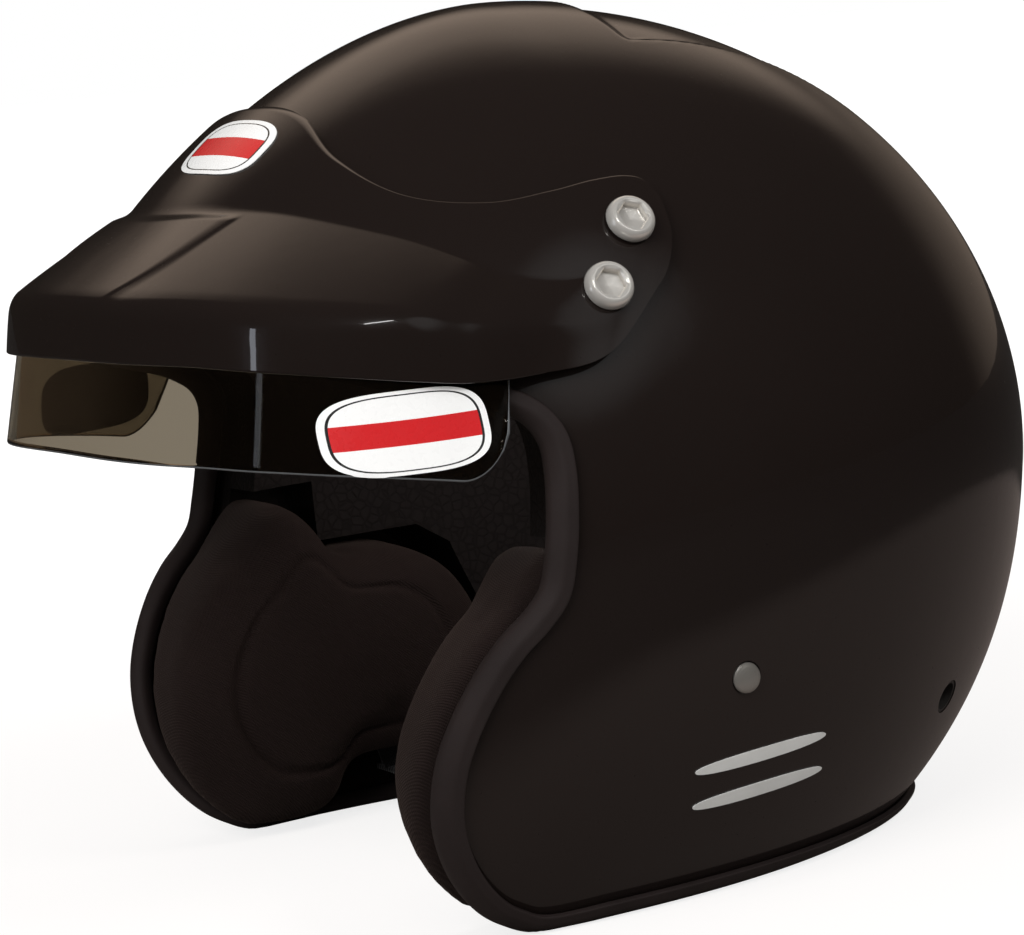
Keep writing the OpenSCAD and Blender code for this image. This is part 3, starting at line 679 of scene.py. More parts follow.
def foam_finish(name, c):
    """Moulded beads with thin joints between them."""
    f = Finish(name)
    bead = f.cells(330, "DISTANCE_TO_EDGE")
    edge = f.node("ShaderNodeMapRange", Value=bead, From_Max=0.16).outputs[0]
    base = f.tint(edge, scaled_colour(c, 0.7), scaled_colour(c, 1.2))
    base = f.tint(f.math("MULTIPLY", f.noise(35, 2), 0.35), base, scaled_colour(c, 1.6))
    return f.set(Base_Color=base, Roughness=f.between(0.6, 0.8, f.noise(500, 2)),
                 Normal=f.bump(edge, 0.00025, 0.4), Specular_IOR_Level=0.25)


def steel_finish(name, c, low, high, depth=0.00002, metallic=0.75, stained=0.5):
    """Steel with brush marks and a warm stain."""
    f = Finish(name)
    streak = f.noise(900, 3, 0.6)
    stain = f.math("MULTIPLY", f.noise(120, 3), stained)
    base = f.tint(stain, c, (c[0] * 0.92, c[1] * 0.82, c[2] * 0.68))
    return f.set(Base_Color=base, Metallic=metallic, Roughness=f.between(low, high, streak),
                 Normal=f.bump(streak, depth, 0.4))


def smoke_finish(name, c):
    """Clear smoked sheet: light goes straight through it in its shadow."""
    f = Finish(name)
    tone = f.tint(f.noise(14, 2), c, scaled_colour(c, 1.06))
    clear = f.node("ShaderNodeBsdfTransparent", Color=scaled_colour(c, 1.5))
    ray = f.node("ShaderNodeLightPath")
    choose = f.node("ShaderNodeMixShader")
    f.put(choose.inputs[0], ray.outputs["Is Shadow Ray"])
    f.put(choose.inputs[1], f.shader.outputs[0])
    f.put(choose.inputs[2], clear.outputs[0])
    f.put(f.output.inputs["Surface"], choose.outputs[0])
    return f.set(Base_Color=tone, Roughness=f.between(0.0, 0.02, f.noise(700, 2)),
                 Transmission_Weight=1.0, IOR=1.2, Specular_IOR_Level=0.5)


def label_finish(name, ground, band, line, line_at, band_half):
    """A printed label: a thin line inside its border and one plain band."""
    f = Finish(name)
    place = f.node("ShaderNodeUVMap").outputs[0]
    parts = f.node("ShaderNodeSeparateXYZ", Vector=place)
    rim, high = parts.outputs[0], parts.outputs[1]
    on_line = f.math("COMPARE", rim, line_at)
    f.tree.nodes[-1].inputs[2].default_value = 0.016
    above = f.math("GREATER_THAN", high, -band_half)
    below = f.math("LESS_THAN", high, band_half)
    inside = f.math("LESS_THAN", rim, line_at)
    band_on = f.math("MULTIPLY", f.math("MULTIPLY", above, below), inside)
    soil = f.math("MULTIPLY", f.noise(160, 4), 0.12)
    base = f.tint(soil, ground, scaled_colour(ground, 0.7))
    base = f.tint(band_on, base, band)
    base = f.tint(on_line, base, line)
    return f.set(Base_Color=base, Roughness=f.between(0.22, 0.34, f.noise(500, 2)),
                 Normal=f.bump(f.noise(1500, 2), 0.00003, 0.4), Coat_Weight=0.4,
                 Coat_Roughness=0.08)


def plain_finish(name, c, low, high):
    """Moulded plastic or film with a fine grain."""
    f = Finish(name)
    base = f.tint(f.noise(70, 3), scaled_colour(c, 0.85), scaled_colour(c, 1.2))
    return f.set(Base_Color=base, Roughness=f.between(low, high, f.noise(400, 2)),
                 Normal=f.bump(f.noise(900, 2), 0.00006, 0.5))


def webbing_finish(name, c):
    """Woven nylon: the map runs along and across the strap in millimetres."""
    f = Finish(name)
    rib_pitch, yarn_pitch = 1.5, 1.7
    place = f.node("ShaderNodeUVMap").outputs[0]
    parts = f.node("ShaderNodeSeparateXYZ", Vector=place)
    across = f.math("SINE", f.math("MULTIPLY", parts.outputs[1], 2 * math.pi / rib_pitch))
    shift = f.math("MULTIPLY", f.math("SIGN", across), 0.5 * math.pi)
    along_strap = f.math("MULTIPLY", parts.outputs[0], 2 * math.pi / yarn_pitch)
    weft = f.math("SINE", f.math("ADD", along_strap, shift))
    height = f.math("ADD", f.math("ABSOLUTE", across), f.math("MULTIPLY", weft, 0.5))
    # Raised yarns are painted lighter and the hollows darker: a painted highlight and painted
    # shade of the weave.
    lit = f.math("MULTIPLY", height, 0.5, clamp=True)
    base = f.tint(lit, scaled_colour(c, 0.55), scaled_colour(c, 1.9))
    return f.set(Base_Color=base, Roughness=0.62, Normal=f.bump(height, 0.00022, 0.8),
                 Sheen_Weight=0.3, Sheen_Roughness=0.4)


def finish(context, name):
    """The named finish, made once."""
    ready = bpy.data.materials.get(name)
    if ready:
        return ready
    c = context.scene.helmet_colours
    brushed = 0.00005
    label = (label_finish, c.label, tuple(c.band), (0.02, 0.02, 0.02))
    makers = {
        "gloss_paint": (paint_finish, c.paint),
        "trim_rubber": (rubber_finish, c.rubber),
        "rib_knit": (knit_finish, c.cloth),
        "bead_foam": (foam_finish, c.foam),
        "smoked_sheet": (smoke_finish, c.smoke),
        "polished_steel": (steel_finish, c.steel, 0.2, 0.3),
        "satin_steel": (steel_finish, c.screw, 0.2, 0.28, 0.00002, 0.7, 0.1),
        "black_steel": (steel_finish, (0.03, 0.028, 0.027), 0.35, 0.5, brushed, 0.4),
        "dull_steel": (steel_finish, scaled_colour(c.steel, 0.45), 0.3, 0.48, brushed),
        "woven_webbing": (webbing_finish, c.webbing),
        "front_label": (*label, 0.86, 0.34),
        "side_label": (*label, 0.9, 0.3),
        # The eyeshade's cut edges are pale grey. This is partly a frosted cut edge and partly a
        # painted highlight standing in for the bright line of light along the edge.
        "sheet_edge": (plain_finish, (0.11, 0.115, 0.12), 0.15, 0.3),
        "label_back": (plain_finish, (0.012, 0.012, 0.012), 0.5, 0.65),
        "pinstripe_film": (plain_finish, (0.62, 0.62, 0.6), 0.25, 0.35),
        "spacer_nylon": (plain_finish, (0.03, 0.03, 0.032), 0.4, 0.55),
    }
    maker, tone, *rest = makers[name]
    return maker(name, tuple(tone), *rest)


# Pieces of the shell

def edge_path(form):
    """Stations of the shell's edge on the wearer's left: angle and height, front to back."""
    side = [(float(form.angle_at(y, z)), z) for y, z in SIDE_EDGE]
    start = float(form.angle_at(-36, EDGE_Z))
    step = 360 / 44
    first = math.ceil(start / step + 0.4)
    rim = [(i * step, EDGE_Z) for i in range(first, 12)]
    rim[-1] = (90.0, EDGE_Z)
    return list(BROW) + side + [(start, EDGE_Z)] + rim, len(BROW), len(BROW) + len(side)


def opening_prism(form, back):
    """Cutter for the face opening, its edge moved back into the shell."""
    path, _, rim = edge_path(form)
    fine = spline(path[:rim], 6)
    side = form.egg(fine[:, 0], fine[:, 1])[:, 1:]
    side = np.vstack([side, (-26, -2.5)])
    t = unit(np.gradient(side, axis=0))
    side = side + back * np.column_stack([-t[:, 1], t[:, 0]])
    outline = np.vstack([(-260, 165 + back), side, (-26 + back, -40), (-260, -40)])
    return prism(outline)


def hollow_bowl(name, form, k_out, k_in, material, sides, low, top):
    """The egg between two depths, closed at the bottom, before it is cut."""
    outer = form.bowl(k_out, sides, low, top)
    inner = form.bowl(k_in, sides, low, top)
    if k_out <= form.skin:
        for rings in (outer, inner):
            rings[..., 2] -= form.dish_depth * dish(rings)
    points = np.vstack([outer.reshape(-1, 3), inner.reshape(-1, 3)])
    return make(name, points, double_wall(*outer.shape[:2]), material)


def spots(form, places):
    """Point and outward direction of places on the shell, on both sides."""
    out = []
    for a, z in places:
        p, n = form.egg(a, z), form.normal(a, z)
        out += [(p, n), (p * (-1, 1, 1), n * (-1, 1, 1))]
    return out


def insert_spots(form):
    """Where the threaded inserts sit."""
    return spots(form, [(float(form.angle_at(*INSERT_SPOT)), INSERT_SPOT[1])])


class HELMET_OT_outer_shell(bpy.types.Operator):
    """Builds the painted outer shell"""

    bl_idname = "helmet.outer_shell"
    bl_label = "Outer Shell"

    def execute(self, context):
        form = Form(context)
        shell = hollow_bowl("outer_shell_skin", form, 0, form.skin,
                            finish(context, "gloss_paint"), sides=320, low=44, top=120)
        cutters = [opening_prism(form, 0), block((-260, -400, -90), (260, 400, EDGE_Z))]
        for p, n in spots(form, SCREW_SPOTS):
            cutters.append(drill(HOLE_R, -REACH, REACH, p, n))
        for p, n in insert_spots(form):
            cutters.append(drill(INSERT_R, -REACH, REACH, p, n))
        x = float(form.side_x(STRAP_Y, PIVOT_Z, 0))
        for s in (-1, 1):
            place = (s * x, STRAP_Y, PIVOT_Z)
            cutters.append(drill(HOLE_R, -REACH, REACH, place, (s, 0, 0)))
            cutters.append(drill(RIVET_SEAT_R, -RIVET_SEAT_DEEP, REACH, place, (s, 0, 0)))
        cut(shell, cutters)
        settle(shell, ["outer_shell"])
        return {"FINISHED"}


class HELMET_OT_liner(bpy.types.Operator):
    """Builds the moulded foam liner"""

    bl_idname = "helmet.liner"
    bl_label = "Foam Liner"

    def execute(self, context):
        form = Form(context)
        liner = hollow_bowl("foam_liner", form, form.liner_k, form.cavity_k,
                            finish(context, "bead_foam"), sides=144, low=22, top=46)
        bay = [(-4.1, -20), (48, -20), (48, REAR_FLOOR + 24), (40, REAR_FLOOR + 50), (30, 86),
               (-4.1, 86)]
        under = [(-120, -20), (260, -20), (260, REAR_FLOOR), (-4, REAR_FLOOR), (-4, 12),
                 (-120, 12)]
        lobe = make("cutter", *ring_solid(form.bowl(form.lobe_k, 96, 20, 20)), None)
        keep = prism([(-120, -20), (-4, -20), (-4, CHEEK_TOP + 2), (-120, CHEEK_TOP + 2)])
        carve(lobe, [keep], "INTERSECT")
        cutters = [opening_prism(form, form.trim_lip + 2.2), lobe, prism(bay), prism(under)]
        for p, n in spots(form, SCREW_SPOTS):
            cutters.append(drill(NUT_ROOM_R, -form.skin - NUT_ROOM_DEEP, 10, p, n))
        for p, n in insert_spots(form):
            cutters.append(drill(INSERT_ROOM_R, -14, 10, p, n, 8))
        cut(liner, cutters)
        settle(liner, ["eps_liner"])
        return {"FINISHED"}


def edge_frame(form, loop):
    """Points, ways along and ways outward of a closed line on the shell."""
    p = form.egg(loop[:, 0], loop[:, 1])
    t = unit(np.roll(p, -1, 0) - np.roll(p, 1, 0))
    return p, t, form.normal(loop[:, 0], loop[:, 1])


def trim_section(form):
    """The channel's outline: how far back over the shell, and how high over its skin."""
    lip, w, skin, out, inn, web = form.trim_lip, form.trim_wall, form.skin, 0.6, 1.1, 0.8
    section = [
        (lip, 0.06), (lip + 0.05, out + w * 0.4), (lip - 0.35, out + w * 0.85),
        (lip * 0.6, out + w), (0.6, out + w),
        (-web - w * 0.5, out * 0.4), (-web - w * 0.8, -skin * 0.5),
        (-web - w * 0.5, -skin - inn * 0.6), (0.6, -skin - inn - w),
        (lip * 0.8, -skin - inn - w), (lip, -skin - inn - w * 0.5), (lip, -skin - inn),
        (-web * 0.5, -skin - inn), (-web * 0.5, out)]
    return spline(section, 4, closed=True)


class HELMET_OT_edge_trim(bpy.types.Operator):
    """Builds the rubber channel round the whole edge"""

    bl_idname = "helmet.edge_trim"
    bl_label = "Edge Trim"

    def execute(self, context):
        form = Form(context)
        path, brow, rim = edge_path(form)
        path = np.array(path)
        n = len(path)
        mirror = np.column_stack([-180 - path[-2:0:-1, 0], path[-2:0:-1, 1]])
        loop = np.vstack([path, mirror])
        _, t, nrm = edge_frame(form, loop)
        across = []
        for i in range(len(loop)):
            j = i if i < n else 2 * n - 2 - i
            face = (0, BROW_SLOPE, 1) if j < brow else \
                (0, -t[i][2], t[i][1]) if j < rim else (0, 0, 1)
            d = np.cross(t[i], face)
            across.append(d / (d @ nrm[i]))
        steps = 8
        angles = loop.copy()
        angles[:, 0] = np.unwrap(angles[:, 0], period=360)
        lap = 360 * round((angles[0, 0] - angles[-1, 0]) / 360)
        turns = np.vstack([angles, angles[:1] - (lap, 0)])
        fine = spline(turns, steps)[:-1]
        fine_across = spline(np.array(across), steps, closed=True)
        p, t, nrm = edge_frame(form, fine)
        back = unit(np.cross(nrm, t))
        rings = np.array([p + back * s + fine_across * h for s, h in trim_section(form)])
        rings = rings.transpose(1, 0, 2)
        rings[..., 2] = np.maximum(rings[..., 2], 0.02)
        rows, cols = rings.shape[:2]
        trim = make("edge_trim_rubber", rings.reshape(-1, 3),
                    grid_faces(rows, cols, True, True), finish(context, "trim_rubber"))
        settle(trim, ["edge_trim"])
        return {"FINISHED"}


# Peak and eyeshade

def along(rows, u):
    """A smooth curve through the stations of a row, mirrored at the front."""
    n = len(rows)
    ends = np.vstack([(-180 - rows[1, 0], rows[1, 1], rows[1, 2]), rows, rows[-1], rows[-1]])
    u = np.asarray(u, float)
    i = np.minimum(np.floor(u).astype(int), n - 2)
    t = (u - i)[..., None]
    a, b, c, d = ends[i], ends[i + 1], ends[i + 2], ends[i + 3]
    return 0.5 * (2 * b + (c - a) * t + (2 * a - 5 * b + 4 * c - d) * t * t
                  + (3 * b - a - 3 * c + d) * t ** 3)


PANEL_STATION = 0.9
BRIM_ROUND = 0.1
BRIM_TURN = 0.3


def panel_end(v):
    """Station at which the raised panel ends, from the crease to the edge of the brim."""
    return mixed(1.45, 0.35, v)


def peak_columns():
    """Stations of the peak's columns, close together at the panel's end."""
    near = PANEL_STATION + np.linspace(-0.14, 0.14, 15)
    return np.concatenate([np.linspace(0, 0.74, 20), near, np.linspace(1.07, 3.6, 50),
                           np.linspace(3.65, 8, 84)])


def peak_surface(form):
    """The peak's outer face as rows of [angle, height, depth]."""
    w = peak_columns()
    rows = []

    def stations(v):
        return np.interp(w, [0, PANEL_STATION, 3.6, 8], [0, panel_end(v), 3.6, 8])

    def panel(v):
        side = smooth((PANEL_STATION + 0.1 - w) / 0.2)
        rise = form.panel_rise * mixed(1, 0.55, v) * float(smooth((v - 0.03) / 0.06))
        return (rise * side)[:, None] * (0, 0, 1)

    def row(v, make_row):
        u = stations(v)
        rows.append(make_row(along(PEAK_TOP, u), along(PEAK_CREASE, u), along(PEAK_BRIM, u),
                             along(PEAK_SKIRT, u)))

    for f in [0, 0.03, 0.08, 0.16, 0.26, 0.36, 0.46, 0.56, 0.66, 0.76, 0.86, 0.93, 0.97]:
        row(0, lambda t, c, b, s: mixed(t, c, f))
    row(0, lambda t, c, b, s: mixed(mixed(t, c, 0.985), mixed(c, b, 0.02), 0.5))
    brim = [0.02, 0.035, 0.05, 0.065, 0.08, 0.095, 0.11] + list(np.linspace(0.14, 0.84, 19))
    for v in brim:
        row(v, lambda t, c, b, s: mixed(c, b, v) - panel(v))
    for q in np.linspace(0, 1, 10)[1:-1]:
        v = mixed(1 - BRIM_ROUND, 1, q)

        def curve(t, c, b, s):
            r0 = mixed(c, b, 1 - BRIM_ROUND) - panel(1)
            r1 = mixed(b, s, BRIM_TURN)
            return mixed(mixed(r0, b, q), mixed(b, r1, q), q)
        row(v, curve)
    for g in [0, 0.12, 0.26, 0.4, 0.55, 0.7, 0.84, 0.93, 1]:
        row(1, lambda t, c, b, s: mixed(mixed(b, s, BRIM_TURN), s, g))
    return np.array(rows)


def mirrored_grid(points):
    """A grid whose first column is on the middle plane, with its mirror image."""
    return np.concatenate([points[:, :0:-1] * (-1, 1, 1), points], axis=1)


def relaxed(grid, weight, passes):
    """A grid evened out where the weight is set; its border slides along itself."""
    for _ in range(passes):
        even = grid.copy()
        even[1:-1, 1:-1] = (grid[:-2, 1:-1] + grid[2:, 1:-1] + grid[1:-1, :-2]
                            + grid[1:-1, 2:]) / 4
        even[1:-1, -1] = (grid[:-2, -1] + grid[2:, -1]) / 2
        even[-1, 1:-1] = (grid[-1, :-2] + grid[-1, 2:]) / 2
        even[-1, -1] = (grid[-2, -1] + grid[-1, -2]) / 2
        grid = grid + weight[..., None] * (even - grid)
    return grid


class HELMET_OT_peak(bpy.types.Operator):
    """Builds the peak with its raised panel and ear plates"""

    bl_idname = "helmet.peak"
    bl_label = "Peak"

    def execute(self, context):
        form = Form(context)
        surface = peak_surface(form)
        corner = smooth((peak_columns() - 7.2) / 0.5)
        lower = smooth((np.arange(len(surface)) / len(surface) - 0.5) / 0.25)
        surface = relaxed(surface, 0.7 * lower[:, None] * corner, 160)
        outer = mirrored_grid(form.lift(surface, form.peak_out))
        inner = mirrored_grid(form.lift(surface, form.peak_out + form.peak_wall))
        peak = make("peak_moulding", *sheet_solid(outer, inner), finish(context, "gloss_paint"))
        cut(peak, [drill(HOLE_R, -6, 14, p, n) for p, n in spots(form, SCREW_SPOTS)], 60)
        settle(peak, ["peak"])
        return {"FINISHED"}


class HELMET_OT_eyeshade(bpy.types.Operator):
    """Builds the smoked sheet under the peak"""

    bl_idname = "helmet.eyeshade"
    bl_label = "Eyeshade"

    def execute(self, context):
        form = Form(context)
        u = np.linspace(0, SHADE_END, 110)
        b, s, low_row = along(PEAK_BRIM, u), along(PEAK_SKIRT, u), along(SHADE_LOW, u)
        q = np.clip((u - SHADE_TURN) / (SHADE_END - SHADE_TURN), 0, 1)
        up = SHADE_CORNER * (1 - np.sqrt(np.maximum(0, 1 - q * q)))
        f = (up / (s[:, 1] - low_row[:, 1]))[:, None]
        tip = mixed(low_row, s + (0, 0, form.peak_out), f)
        behind = form.peak_out + form.peak_wall + SHADE_GAP
        top = form.lift(mixed(b, s, SHADE_TOP), behind)
        mid = form.lift(s, behind)
        low = form.lift(tip)
        rows = [mixed(top, mid, t) for t in (0, 0.33, 0.66)]
        rows += [mixed(mid, low, t) for t in np.linspace(0, 1, 17)]
        outer = mirrored_grid(np.array(rows))
        across = np.gradient(outer, axis=1)
        down = np.gradient(outer, axis=0)
        inward = unit(np.cross(across, down))
        if (inward[5, 110] @ np.array((0, 1, 0))) < 0:
            inward = -inward
        inner = outer + form.shade_wall * inward
        shade = make("smoked_eyeshade", *sheet_solid(outer, inner, 3),
                     finish(context, "smoked_sheet"))
        # The border faces take the pale edge finish: a frosted cut edge, and partly a painted
        # highlight along the sheet's edge.
        shade.data.materials.append(finish(context, "sheet_edge"))
        walls = 2 * (outer.shape[0] - 1) * (outer.shape[1] - 1)
        for poly in shade.data.polygons[walls:]:
            poly.material_index = 1
        settle(shade, ["eyeshade"])
        return {"FINISHED"}


# Labels

def decal(name, target, centre, right, up, out, half_w, half_h, corner, front, back):
    """A thin rounded film laid on a piece, seen along one direction."""
    lift, thick = 0.12, 0.22
    right, up, out = (np.array(v, float) for v in (right, up, out))
    tree = BVHTree.FromObject(target, bpy.context.evaluated_depsgraph_get())
    sides, rings = 112, 14
    a = np.arange(sides) * 2 * math.pi / sides
    power = 2 / corner
    edge = np.stack([half_w * signed_power(np.cos(a), power),
                     half_h * signed_power(np.sin(a), power)], -1)
    layers = {"front": [], "back": []}
    maps = []
    for ring in np.linspace(1, 0.04, rings):
        for x, y in edge * ring:
            start = np.array(centre) + right * x + up * y + out * 60
            hit, normal, _, _ = tree.ray_cast(Vector(to_frame(start)), Vector(-out))
            if hit is None:
                raise RuntimeError(f"{name} has nothing under it")
            spot = from_frame(hit)
            normal = np.array(normal)
            layers["back"].append(spot + normal * lift)
            layers["front"].append(spot + normal * (lift + thick))
            maps.append((ring, y / half_h))
    n = sides * rings
    points = np.vstack([layers["front"], layers["back"]])
    film = make(name, points, double_wall(rings, sides), front, 50)
    film.data.materials.append(back)
    layer = film.data.uv_layers.new(name="Label")
    for poly in film.data.polygons:
        verts = list(poly.vertices)
        if all(v >= n for v in verts):
            poly.material_index = 1
        for loop in poly.loop_indices:
            layer.data[loop].uv = maps[film.data.loops[loop].vertex_index % n]
    return film


class HELMET_OT_labels(bpy.types.Operator):
    """Lays the plain labels on the peak, the eyeshade and the shell"""

    bl_idname = "helmet.labels"
    bl_label = "Labels"

    def execute(self, context):
        back = finish(context, "label_back")
        peak = bpy.data.objects["peak_moulding"]
        shade = bpy.data.objects["smoked_eyeshade"]
        shell = bpy.data.objects["outer_shell_skin"]
        tilt = unit(np.array((0, -0.62, 0.78)))
        rise = np.array((0, 0.78, 0.62))
        front = decal("front_label", peak, (8.5, -62, 213.5), (1, 0, 0), rise, tilt,
                      22.5, 10.5, 3.2, finish(context, "front_label"), back)
        settle(front)
        for side, name in ((1, "left"), (-1, "right")):
            label = decal(f"shade_label_{name}", shade, (side * 116, -66.5, 140), (0, side, 0),
                          (0, 0, 1), (side, 0, 0), 20.5, 10.6, 3.2,
                          finish(context, "side_label"), back)
            settle(label)
            for end, height in (("upper", 39), ("lower", 29)):
                stripe = decal(f"stripe_{end}_{name}", shell, (side * 114, 26, height),
                               (0, side, 0.04), (0, 0, 1), (side, 0, 0), 22, 1.9, 2.4,
                               finish(context, "pinstripe_film"), back)
                settle(stripe)
        return {"FINISHED"}


# Padding

CHANNEL_HALF = 0.022
CHANNEL_DEEP = 2.6
CLOTH_FRAMES = 20
VOXEL = 2.6


def anywhere(points):
    """Freedom for a cover that may swell all over."""
    return np.ones(len(points))


def inflate(context, pad, cap, free):
    """Blows a cover up as cloth; each point moves as far as the cap and its freedom let it."""
    rest = read_points(pad.data)
    weight = free(from_frame(rest))
    cloth = pad.modifiers.new("Cloth", "CLOTH")
    cloth.settings.use_pressure = True
    cloth.settings.uniform_pressure_force = 4
    cloth.settings.effector_weights.gravity = 0
    cloth.point_cache.frame_start = 1
    cloth.point_cache.frame_end = CLOTH_FRAMES
    for number in range(1, CLOTH_FRAMES + 1):
        context.scene.frame_set(number)
    blown = evaluated(pad)
    pad.modifiers.clear()
    context.scene.frame_set(1)
    move = read_points(blown) - rest
    size = np.linalg.norm(move, axis=1, keepdims=True)
    move *= np.minimum(1, cap * MM / np.maximum(size, 1e-9)) * weight[:, None]
    write_points(pad.data, rest + move)
    bpy.data.meshes.remove(blown)


def padded_piece(context, name, points, faces, voxel, cap, free=anywhere):
    """A stuffed piece: remeshed, blown up as cloth where it is free to move, then subdivided."""
    pad = make(name, points, faces, finish(context, "rib_knit"))
    remesh = pad.modifiers.new("Remesh", "REMESH")
    remesh.mode = "VOXEL"
    remesh.voxel_size = voxel * MM
    apply_modifiers(pad)
    inflate(context, pad, cap, free)
    pad.data.shade_smooth()
    if not pad.data.materials:
        pad.data.materials.append(finish(context, "rib_knit"))
    soften = pad.modifiers.new("Smooth", "SMOOTH")
    soften.factor = 0.5
    soften.iterations = 2
    split = pad.modifiers.new("Subdivision", "SUBSURF")
    split.levels = split.render_levels = 1
    apply_modifiers(pad)
    return pad


def arc_pad(form, a0, a1, z0, z1, k, depth, cols, rows, rest):
    """A pad lying on the foam between two angles and two heights."""
    u, v = np.meshgrid(np.linspace(0, 1, cols), np.linspace(0, 1, rows))
    a, z = mixed(a0, a1, u), mixed(z0, z1, v)
    e = (1 - np.abs(2 * u - 1) ** 6) * (1 - np.abs(2 * v - 1) ** 4)
    d = depth * mixed(rest, 1, np.sqrt(np.maximum(e, 0)))
    return sheet_solid(form.egg(a, z, k + d), form.egg(a, z, k), 2)


def press_channels(form, pad, a0, a1, places):
    """Presses sewn channels into a pad's face across its length."""
    co = read_points(pad.data)
    nor = read_points(pad.data, "normal")
    p = from_frame(co)
    y = p[:, 1] - LEAN * (p[:, 2] - WIDE_Z)
    reach = np.where(y < 0, form.shell_front, form.shell_rear)
    a = np.degrees(np.arctan2(signed_power(y / reach, SIDE_POW / 2),
                              signed_power(p[:, 0] / form.half, SIDE_POW / 2)))
    a = np.where((a < a0 - 40), a + 360, a)
    u = (a - a0) / (a1 - a0)
    inside = smooth(0.5 - np.einsum("ij,ij->i", nor, unit(p - (0, 20, 110))) * 2)
    press = np.zeros(len(u))
    for place in places:
        press = np.maximum(press, 1 - smooth(np.abs(u - place) / CHANNEL_HALF))
    write_points(pad.data, co - nor * (press * inside * CHANNEL_DEEP * MM)[:, None])


class HELMET_OT_comfort_pads(bpy.types.Operator):
    """Builds the crown, brow, rear and neck padding"""

    bl_idname = "helmet.comfort_pads"
    bl_label = "Comfort Pads"

    def execute(self, context):
        form = Form(context)
        bands = [
            ("brow_padding", "brow_pad", -162, -18, WIDE_Z + form.crown_rise * 0.5,
             WIDE_Z + form.crown_rise * 0.667, form.pad_k, form.padding, 0.3,
             (0.18, 0.34, 0.5, 0.66, 0.82)),
            ("rear_padding", "rear_pad", 28, 152, WIDE_Z - DROP * 0.25,
             WIDE_Z + form.crown_rise / 6, form.pad_k, form.padding, 0.3, (0.27, 0.5, 0.73)),
            ("neck_roll_padding", "neck_roll", 30, 150, 9.5, REAR_FLOOR - 1.5,
             form.liner_k + 0.9, form.foam - 6, 0.18, (0.2, 0.4, 0.6, 0.8)),
        ]
        for name, node, a0, a1, z0, z1, k, depth, rest, seams in bands:
            points, faces = arc_pad(form, a0, a1, z0, z1, k + 0.4, depth - 1.6, 90, 16, rest)
            pad = padded_piece(context, name, points, faces, VOXEL, 1.4)
            press_channels(form, pad, a0, a1, seams)
            settle(pad, [node])
        reach = float(form.waist(np.array(WIDE_Z + form.crown_rise * 0.687), form.pad_k))
        profile = [
            (0.04, 1), (0.14, 1), (0.25, 1), (0.38, 1), (0.5, 1), (0.58, 1), (0.61, 0.8),
            (0.64, 0.6), (0.67, 0.8), (0.7, 1), (0.78, 1), (0.86, 0.95), (0.93, 0.76),
            (0.975, 0.45), (1, 0.15), (0.99, 0), (0.9, 0), (0.7, 0), (0.5, 0), (0.3, 0), (0.04, 0)]
        rings = []
        sides = 96
        a = np.arange(sides) * 360 / sides
        for t, d in profile:
            k = form.pad_k + 0.3 + (form.padding - 1.2) * d
            r = reach * t * 0.995
            z = WIDE_Z + (form.crown_rise - k) * (1 - r ** UP_POW) ** (1 / UP_POW)
            rings.append(form.egg(a, np.full(sides, z), k))
        points, faces = ring_solid(rings)
        pad = padded_piece(context, "crown_padding", points, faces, 2.8, 1.2)
        settle(pad, ["crown_pad"])
        return {"FINISHED"}


SEAM_AT = 0.66
SEAM_HALF = 0.045
SEAM_DEEP = 1.8


def cheek_face(form, y, z):
    """How far out a cheek pad's face lies."""
    flare = 5 * smooth((-y - 18) / 38) - 4 * smooth((y - 4) / 34)
    return 104 - form.cheek_depth + flare + 2.5 * smooth(np.abs(z - 48) / 34)


def press_seam(form, pad, outline):
    """Presses the sewn seam into a cheek pad's face, in step with the pad's outline."""
    p = from_frame(read_points(pad.data))
    q = p[:, 1:] - CHEEK_MID
    edge = outline - CHEEK_MID
    edge_angle = np.arctan2(edge[:, 1], edge[:, 0])
    order = np.argsort(edge_angle)
    radius = np.interp(np.arctan2(q[:, 1], q[:, 0]), edge_angle[order],
                       np.linalg.norm(edge, axis=1)[order], period=2 * math.pi)
    t = np.linalg.norm(q, axis=1) / radius
    wall = form.side_x(p[:, 1], p[:, 2], form.cheek_k)
    front = smooth((wall - p[:, 0] - 16) / 8)
    p[:, 0] += SEAM_DEEP * front * (1 - smooth(np.abs(t - SEAM_AT) / SEAM_HALF))
    write_points(pad.data, to_frame(p))


class HELMET_OT_cheek_pads(bpy.types.Operator):
    """Builds the two cheek pads"""

    bl_idname = "helmet.cheek_pads"
    bl_label = "Cheek Pads"

    def execute(self, context):
        form = Form(context)
        outline = spline(CHEEK_OUTLINE, 4, closed=True)
        layers = [
            (0.02, 1), (0.3, 1), (0.6, 0.99), (0.84, 0.965), (0.94, 0.9), (0.98, 0.78),
            (0.995, 0.6), (1, 0.4), (1, 0.2), (0.99, 0.07), (0.96, 0.02), (0.5, 0.015),
            (0.02, 0.015)]
        rings = []
        for scale, depth in layers:
            q = CHEEK_MID + (outline - CHEEK_MID) * scale
            x = mixed(form.side_x(q[:, 0], q[:, 1], form.cheek_k),
                      cheek_face(form, q[:, 0], q[:, 1]) + 1.5, depth)
            rings.append(np.column_stack([x, q]))
        points, faces = ring_solid(rings)

        def free(p):
            """Keeps the back still and lets the face swell."""
            wall = form.side_x(p[:, 1], p[:, 2], form.cheek_k)
            return smooth((wall - p[:, 0] - 2) / 12)

        pad = padded_piece(context, "cheek_padding_left", points, faces, VOXEL, 2.2, free)
        press_seam(form, pad, outline)
        other = pad.copy()
        other.data = pad.data.copy()
        other.name = other.data.name = "cheek_padding_right"
        other.data.transform(Matrix.Scale(-1, 4, (1, 0, 0)))
        other.data.flip_normals()
        context.scene.collection.objects.link(other)
        settle(pad, ["cheek_pad_left"])
        settle(other, ["cheek_pad_right"])
        return {"FINISHED"}


# Fasteners

